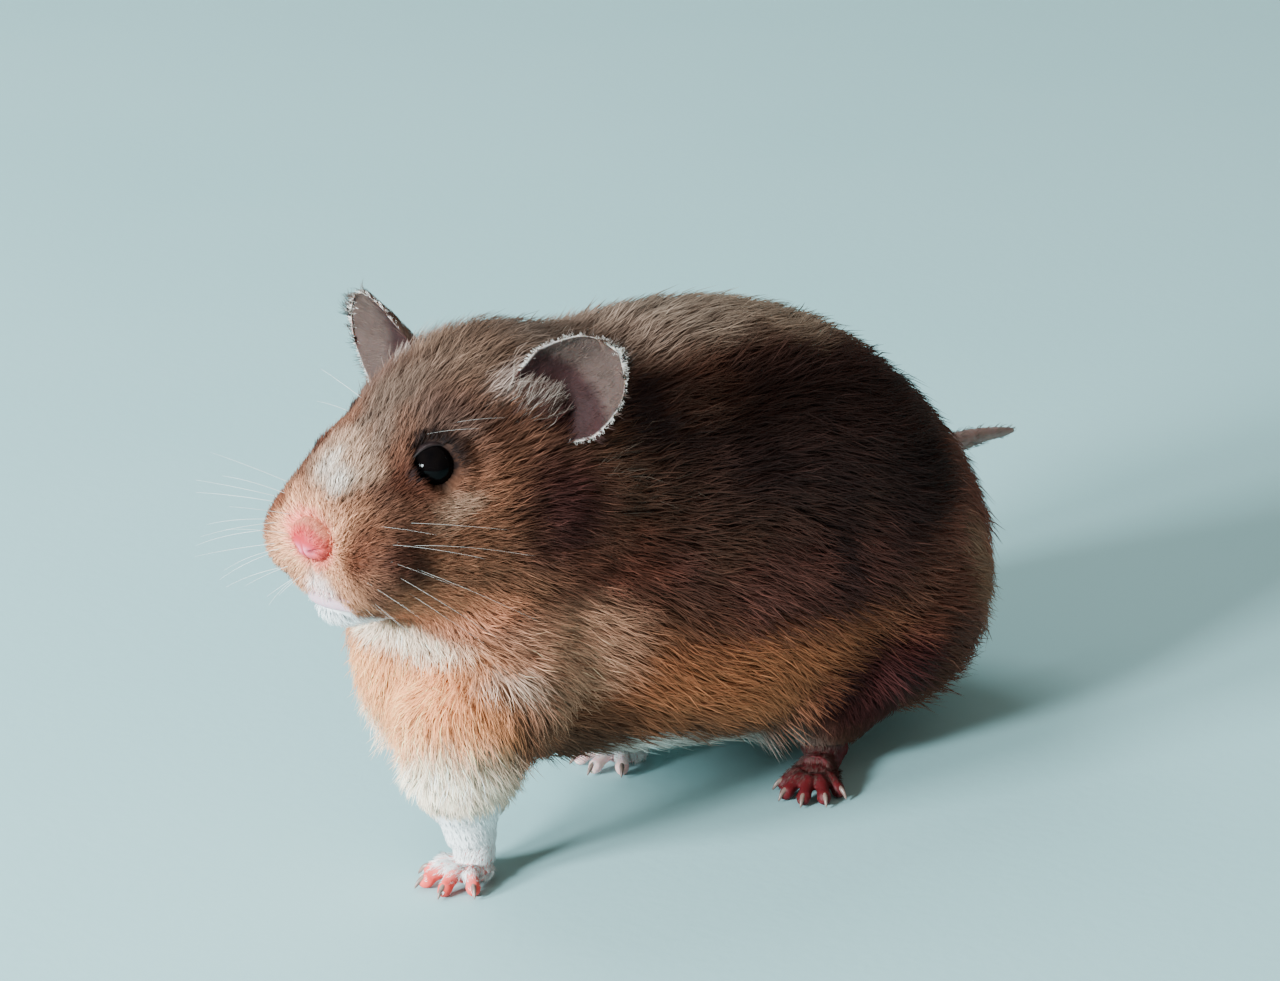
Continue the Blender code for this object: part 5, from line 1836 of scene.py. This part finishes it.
    def down(self, hide: Hide) -> Surface:
        """Short hair on the top of the paw and sparse hair along the toes, lying forward and down.

        Args:
            hide: The paw's skin.

        Returns:
            The hair.
        """
        rng = np.random.default_rng(self.seed)
        height = hide.points[:, 2]
        sparse = 1.0 - 0.9 * ramp(2.6, 5.4, self.forward(hide.points))
        density = ramp(-0.25, 0.25, hide.normals[:, 2]) * sparse
        density = np.maximum(density, ramp(2.6, 4.2, height) * ramp(6.5, 5.5, height))
        roots = hide.scattered(density * ramp(6.8, 6.0, height), self.tufts, rng)
        x, y, z = roots.place.T
        away = unit(roots.place - np.array((*self.heel, 3.0)))
        lie = mixed(away, self.way(0.0) * 0.5 - UP, ramp(2.5, 4.5, z)[:, None])
        lie = turned(tangential(lie, roots.normal), roots.normal, 0.3 * lattice_noise(roots.place, 1.5, 53))
        length = self.hair_length * (1.0 - 0.62 * ramp(2.4, 5.0, self.forward(roots.place)))
        colour = mottled(self.hair, roots.place, 0.2, 1.5, 54)
        angle = np.arctan2(x - self.heel[0], y - self.heel[1]) / FULL_TURN + 0.5
        unwrap = on_unwrap(np.stack((angle, np.clip(z / 7.5, 0.0, 1.0)), axis=-1))
        return grown(roots, lie, length, self.hair_rise * length, colour, unwrap, self.style, rng)


FORE_TOES = ((-58.0, 4.4), (-22.0, 5.6), (12.0, 5.8), (48.0, 4.8))
HIND_TOES = ((-54.0, 4.0), (-25.0, 5.8), (0.0, 6.4), (24.0, 6.0), (52.0, 4.4))
FORE_LOOK = {
    "toes": FORE_TOES, "shank_radius": 2.5, "pad_half": (3.2, 2.6, 1.7), "tufts": 760,
    # The near fore paw's pale top is partly the skin's own colour under white hair and partly painted
    # highlight.
    "top": (0.92, 0.3, 0.27), "sole": (0.8, 0.1, 0.085), "tips": (0.8, 0.085, 0.07),
    "hair": (0.95, 0.92, 0.91),
}
FAR_FORE_LOOK = FORE_LOOK | {
    "tufts": 1100, "top": (0.96, 0.8, 0.78), "sole": (0.85, 0.5, 0.48), "tips": (0.9, 0.55, 0.53),
}
# The hind paws' own crimson, darkened by painted shade as if in the body's shadow.
HIND_LOOK_PAINTED_SHADE = {
    "toes": HIND_TOES, "shank_radius": 2.9, "pad_half": (3.3, 3.0, 1.75), "tufts": 520,
    "top": (0.11, 0.012, 0.014), "sole": (0.11, 0.01, 0.013), "tips": (0.11, 0.009, 0.012),
    "hair": (0.13, 0.066, 0.058),
}
FEET = (
    Foot("forepaw_left", (10.1, 17.8), (10.1, 17.8), (10, 16.9), 6, **FORE_LOOK),
    Foot("forepaw_right", (-3.6, 58.2), (-3.6, 58.2), (-3.8, 57.2), -4, **FAR_FORE_LOOK),
    Foot("hindfoot_left", (17.6, 73.2), (15.8, 77.5), (20.2, 69.5), 30, **HIND_LOOK_PAINTED_SHADE),
    Foot("hindfoot_right", (-17.4, 91.6), (-15.8, 96), (-20, 87.8), -28, **HIND_LOOK_PAINTED_SHADE),
)


@dataclass(frozen=True)
class Tail:
    """The short tail: a tapering, faintly ringed stem with sparse short hair."""

    knots: tuple[tuple[float, float, float, float], ...] = (
        (0, 103, 27.5, 2.3), (0, 109, 29.6, 2.1), (0, 115.5, 31, 1.7), (0.2, 122, 31.2, 1.15),
        (0.4, 127, 30.7, 0.75), (0.5, 129.6, 30.4, 0.35),
    )
    rings: float = 26.0
    ring_height: float = 0.03
    skin: Triple = (0.34, 0.23, 0.21)
    hair: Triple = (0.3, 0.24, 0.21)
    hair_way: Triple = (0.0, 1.0, 0.05)
    hair_rise: float = 0.3
    tufts: int = 300
    hair_length: float = 1.5
    style: TuftStyle = TuftStyle(3, 0.25, 0.3, 0.09, 0.2, 0.05, 0.2, 0, 1, 0.8, 1.1)
    seed: int = 61

    def build(self) -> None:
        """Makes the stem, its radius the knots' own with a small sine for the rings, and its hair."""
        path = curve_through(np.array(self.knots), 90)
        waves = np.sin(np.linspace(0.0, self.rings * FULL_TURN, len(path)))
        stem = tube(path[:, :3], path[:, 3] * (1.0 + self.ring_height * waves), 28)
        stem.colours = mottled(self.skin, stem.points, 0.2, 1.5, 61)
        hide = Hide.of(stem.points, stem.halves())
        dress(stem.to_object("tail_stem"), BARE_SKIN, "pink_skin", "tail")
        rng = np.random.default_rng(self.seed)
        roots = hide.scattered(np.ones(len(hide.points)), self.tufts, rng)
        lie = tangential(np.array(self.hair_way), roots.normal)
        length = self.hair_length * rng.uniform(0.7, 1.2, len(lie))
        angle = np.arctan2(roots.normal[:, 0], roots.normal[:, 2]) / FULL_TURN + 0.5
        far = (roots.place[:, 1] - self.knots[0][1]) / (self.knots[-1][1] - self.knots[0][1])
        unwrap = on_unwrap(np.stack((angle, np.clip(far, 0.0, 1.0)), axis=-1))
        colour = mottled(self.hair, roots.place, 0.25, 1.5, 62)
        hair = grown(roots, lie, length, self.hair_rise * length, colour, unwrap, self.style, rng)
        dress(hair.to_object("tail_down"), FUR, "pink_skin")


@dataclass(frozen=True)
class WhiskerRow:
    """A row of whiskers on the muzzle or brow: its first and last root, their ways and lengths."""

    first: Triple
    last: Triple
    way_first: Triple
    way_last: Triple
    lengths: Pair
    count: int


@dataclass(frozen=True)
class Whiskers:
    """The whiskers: long tapering hairs in rows, each bent by its own weight."""

    rows: tuple[WhiskerRow, ...] = (
        WhiskerRow((4.6, 2.2, 48.8), (9.4, 7, 50.2), (0.6, -0.78, 0.26), (0.76, -0.62, 0.34),
                   (8, 12), 3),
        WhiskerRow((5.2, 1.8, 46.8), (10.2, 6.8, 47.6), (0.62, -0.78, 0.1), (0.78, -0.62, 0.16),
                   (9, 14), 4),
        WhiskerRow((5.6, 2, 44.8), (10.6, 7, 45), (0.62, -0.76, -0.12), (0.78, -0.62, -0.06),
                   (9, 15), 4),
        WhiskerRow((5.2, 2.4, 42.8), (9.8, 6.8, 42.4), (0.58, -0.74, -0.34), (0.74, -0.62, -0.26),
                   (7, 11), 3),
        WhiskerRow((4, 2.6, 41.2), (7.2, 5.2, 40.4), (0.5, -0.66, -0.62), (0.66, -0.5, -0.56),
                   (4, 6.5), 3),
        WhiskerRow((6.4, 12.8, 60.4), (7.6, 15, 61.2), (0.66, -0.62, 0.42), (0.76, -0.45, 0.5),
                   (7, 9), 2),
    )
    thickness: float = 0.021
    near_thickness: float = 0.0085
    tip_share: float = 0.35
    near_sweep: Triple = (0.1, 1.05, -0.16)
    stray: float = 0.07
    droop: float = 0.16
    sweep: float = 0.16
    points: int = 22
    sides: int = 8
    seed: int = 17

    def steps(self) -> list[tuple[WhiskerRow, float]]:
        """Each whisker's row with its share of the way along it."""
        return [(row, step) for row in self.rows for step in np.linspace(0.0, 1.0, row.count)]

    def build(self, hide: Hide) -> None:
        """Makes all whiskers: from its root in the skin each runs on and bends by the square of its share.

        The left ones are swept back along the cheek, as in the photo, the right ones forward.

        Args:
            hide: The skin they stand in.
        """
        rng = np.random.default_rng(self.seed)
        share = np.linspace(0.0, 1.0, self.points)
        taper = (1.0 - share) ** 0.75
        made = []
        for side in Side:
            near = side is Side.LEFT
            thick = self.near_thickness if near else self.thickness
            for row, step in self.steps():
                spot = side.of(mixed(row.first, row.last, step))
                root = hide.points[np.argmin(from_spot(hide.points, spot))]
                way = unit(side.of(mixed(row.way_first, row.way_last, step)))
                way = unit(way + rng.normal(0.0, self.stray, 3) + np.array(self.near_sweep) * near)
                length = mixed(*row.lengths, step) * rng.uniform(0.85, 1.08)
                sag = np.array((0.0, self.sweep, -self.droop)) * rng.uniform(0.4, 1.5)
                path = root + way * (length * share)[:, None] + sag * (length * share**2)[:, None]
                made.append(tube(path, thick * taper + self.tip_share * thick, self.sides))
        dress(Surface.joined(made).to_object("whiskers"), WHISKER_HAIR, "coat_white")


@dataclass(frozen=True)
class Lamp:
    """A square area light: its way from the animal to the right, away and up, and its reach in metres."""

    name: str
    way: Triple
    distance: float
    size: float
    energy: float
    target: Triple = (0.0, 50.0, 35.0)
    colour: Triple = (0.84, 0.965, 1.0)

    def build(self, right: Array, level: Array) -> None:
        """Places the light so that it looks at the animal.

        Args:
            right: The camera's right.
            level: The camera's way, level with the floor.
        """
        data = bpy.data.lights.new(self.name, "AREA")
        data.size = self.size
        data.energy = self.energy
        data.color = self.colour
        made = bpy.data.objects.new(self.name, data)
        target = ANIMAL.metres(self.target)
        way = unit(self.way[0] * right + self.way[1] * level + self.way[2] * UP)
        spot = Vector(target + way * self.distance)
        turn = (spot - Vector(target)).to_track_quat("Z", "Y").to_matrix().to_4x4()
        made.matrix_world = Matrix.Translation(spot) @ turn
        bpy.context.scene.collection.objects.link(made)


@dataclass(frozen=True)
class Studio:
    """The camera, a pale floor that curves up into a backdrop, lamps and the air's own soft light.

    Two small keys stand at the left front and a broad fill behind on the left, as the shadows in the
    photo say.
    """

    azimuth: float = math.radians(46.0)
    elevation: float = math.radians(20.0)
    distance: float = 550.0
    focal_pixels: float = 4510.0
    image_width: float = 1280.0
    image_height: float = 981.0
    nose_pixel: Pair = (306.0, 540.0)
    nose_tip: Triple = (0.0, 0.0, 47.5)
    sensor: float = 36.0
    floor_near: float = 1500.0
    floor_far: float = 1400.0
    floor_half_width: float = 4500.0
    floor_middle: Triple = (0.0, 60.0, -0.01)
    bend_radius: float = 500.0
    wall_height: float = 1300.0
    lamps: tuple[Lamp, ...] = (
        Lamp("key_left", (-0.82, -0.54, 0.27), 1.0, 0.17, 22.5),
        Lamp("key_front", (-0.64, -0.72, 0.33), 1.0, 0.17, 22.5),
        Lamp("fill", (-0.5, 0.5, 0.8), 1.1, 0.7, 8.0),
    )
    sky: Triple = (1.0, 0.82, 0.71)
    sky_strength: float = 0.37

    def axes(self) -> tuple[Array, Array, Array, Array]:
        """The camera's right, forward and up, and its forward way level with the floor."""
        right = np.array((math.cos(self.azimuth), math.sin(self.azimuth), 0.0))
        level = np.array((-math.sin(self.azimuth), math.cos(self.azimuth), 0.0))
        forward = level * math.cos(self.elevation) - UP * math.sin(self.elevation)
        return right, forward, np.cross(right, forward), level

    def build(self) -> None:
        """Makes camera, floor, lamps and the air."""
        right, _, _, level = self.axes()
        self.camera()
        self.floor()
        for lamp in self.lamps:
            lamp.build(right, level)
        world = bpy.data.worlds.new("studio_air")
        world.use_nodes = True
        air = world.node_tree.nodes["Background"]
        air.inputs["Color"].default_value = (*self.sky, 1.0)
        air.inputs["Strength"].default_value = self.sky_strength
        bpy.context.scene.world = world

    def camera(self) -> None:
        """Sets the camera so that the nose falls on its own place in the picture."""
        right, forward, up, _ = self.axes()
        to_right = (self.nose_pixel[0] - 0.5 * self.image_width) / self.focal_pixels * self.distance
        to_top = (0.5 * self.image_height - self.nose_pixel[1]) / self.focal_pixels * self.distance
        centre = np.array(self.nose_tip) - forward * self.distance - right * to_right - up * to_top
        data = bpy.data.cameras.new("view")
        data.sensor_width = self.sensor
        data.lens = self.focal_pixels / self.image_width * self.sensor
        made = bpy.data.objects.new("view", data)
        turn = Matrix((right, up, -forward)).transposed().to_4x4()
        made.matrix_world = Matrix.Translation(ANIMAL.metres(centre)) @ turn
        bpy.context.scene.collection.objects.link(made)
        bpy.context.scene.camera = made

    def floor(self) -> None:
        """Makes the sheet: its profile runs level, turns up along a quarter circle and ends upright.

        The profile is carried straight across the view; the sheet lies square to the camera's level way.
        """
        run = np.linspace(-self.floor_near, self.floor_far, 60)
        turn = np.linspace(0.0, 0.5 * HALF_TURN, 40)[1:]
        climb = np.linspace(0.0, self.wall_height, 30)[1:]
        ahead = np.concatenate((run, self.floor_far + self.bend_radius * np.sin(turn),
                                np.full(len(climb), self.floor_far + self.bend_radius)))
        bend = self.bend_radius * (1.0 - np.cos(turn))
        height = np.concatenate((0.0 * run, bend, self.bend_radius + climb))
        across = np.linspace(-self.floor_half_width, self.floor_half_width, 40)
        right, _, _, level = self.axes()
        points = ahead[:, None, None] * level + across[None, :, None] * right + height[:, None, None] * UP
        points = points + np.array(self.floor_middle)
        rows, columns = points.shape[:2]
        first = np.arange(rows - 1)[:, None] * columns + np.arange(columns - 1)[None, :]
        quads = np.stack((first, first + 1, first + columns + 1, first + columns), axis=-1).reshape(-1, 4)
        made = Surface(points.reshape(-1, 3), quads).to_object("studio_floor")
        made.data.materials.append(FLOOR_SHEET.material())


EARS = (
    Ear(Side.LEFT, (11.0, 30.8, 61.2), (0.84, 0.14, 0.52), (0.18, -0.95, -0.26)),
    Ear(Side.RIGHT, (-11.4, 29.2, 60.9), (-0.98, 0.03, 0.18), (-0.05, -0.93, -0.08)),
)


def main() -> None:
    """Builds the animal piece by piece, then the studio, logging the points and faces of each piece as it
    is made.
    """
    logging.basicConfig(level=logging.INFO, format="%(message)s")
    lie, colours, mouth = HairLie(), CoatColours(), Mouth()
    hide = Skin().build(lie, colours)
    Coat().build(hide, lie, colours, mouth)
    for streamers in STREAMERS:
        streamers.build(hide)
    for side in Side:
        Eye(side).build()
    NosePad().build()
    mouth.build(hide)
    for part in (*EARS, *FEET, Tail()):
        part.build()
    Whiskers().build(hide)
    Studio().build()


if __name__ == "__main__":
    main()
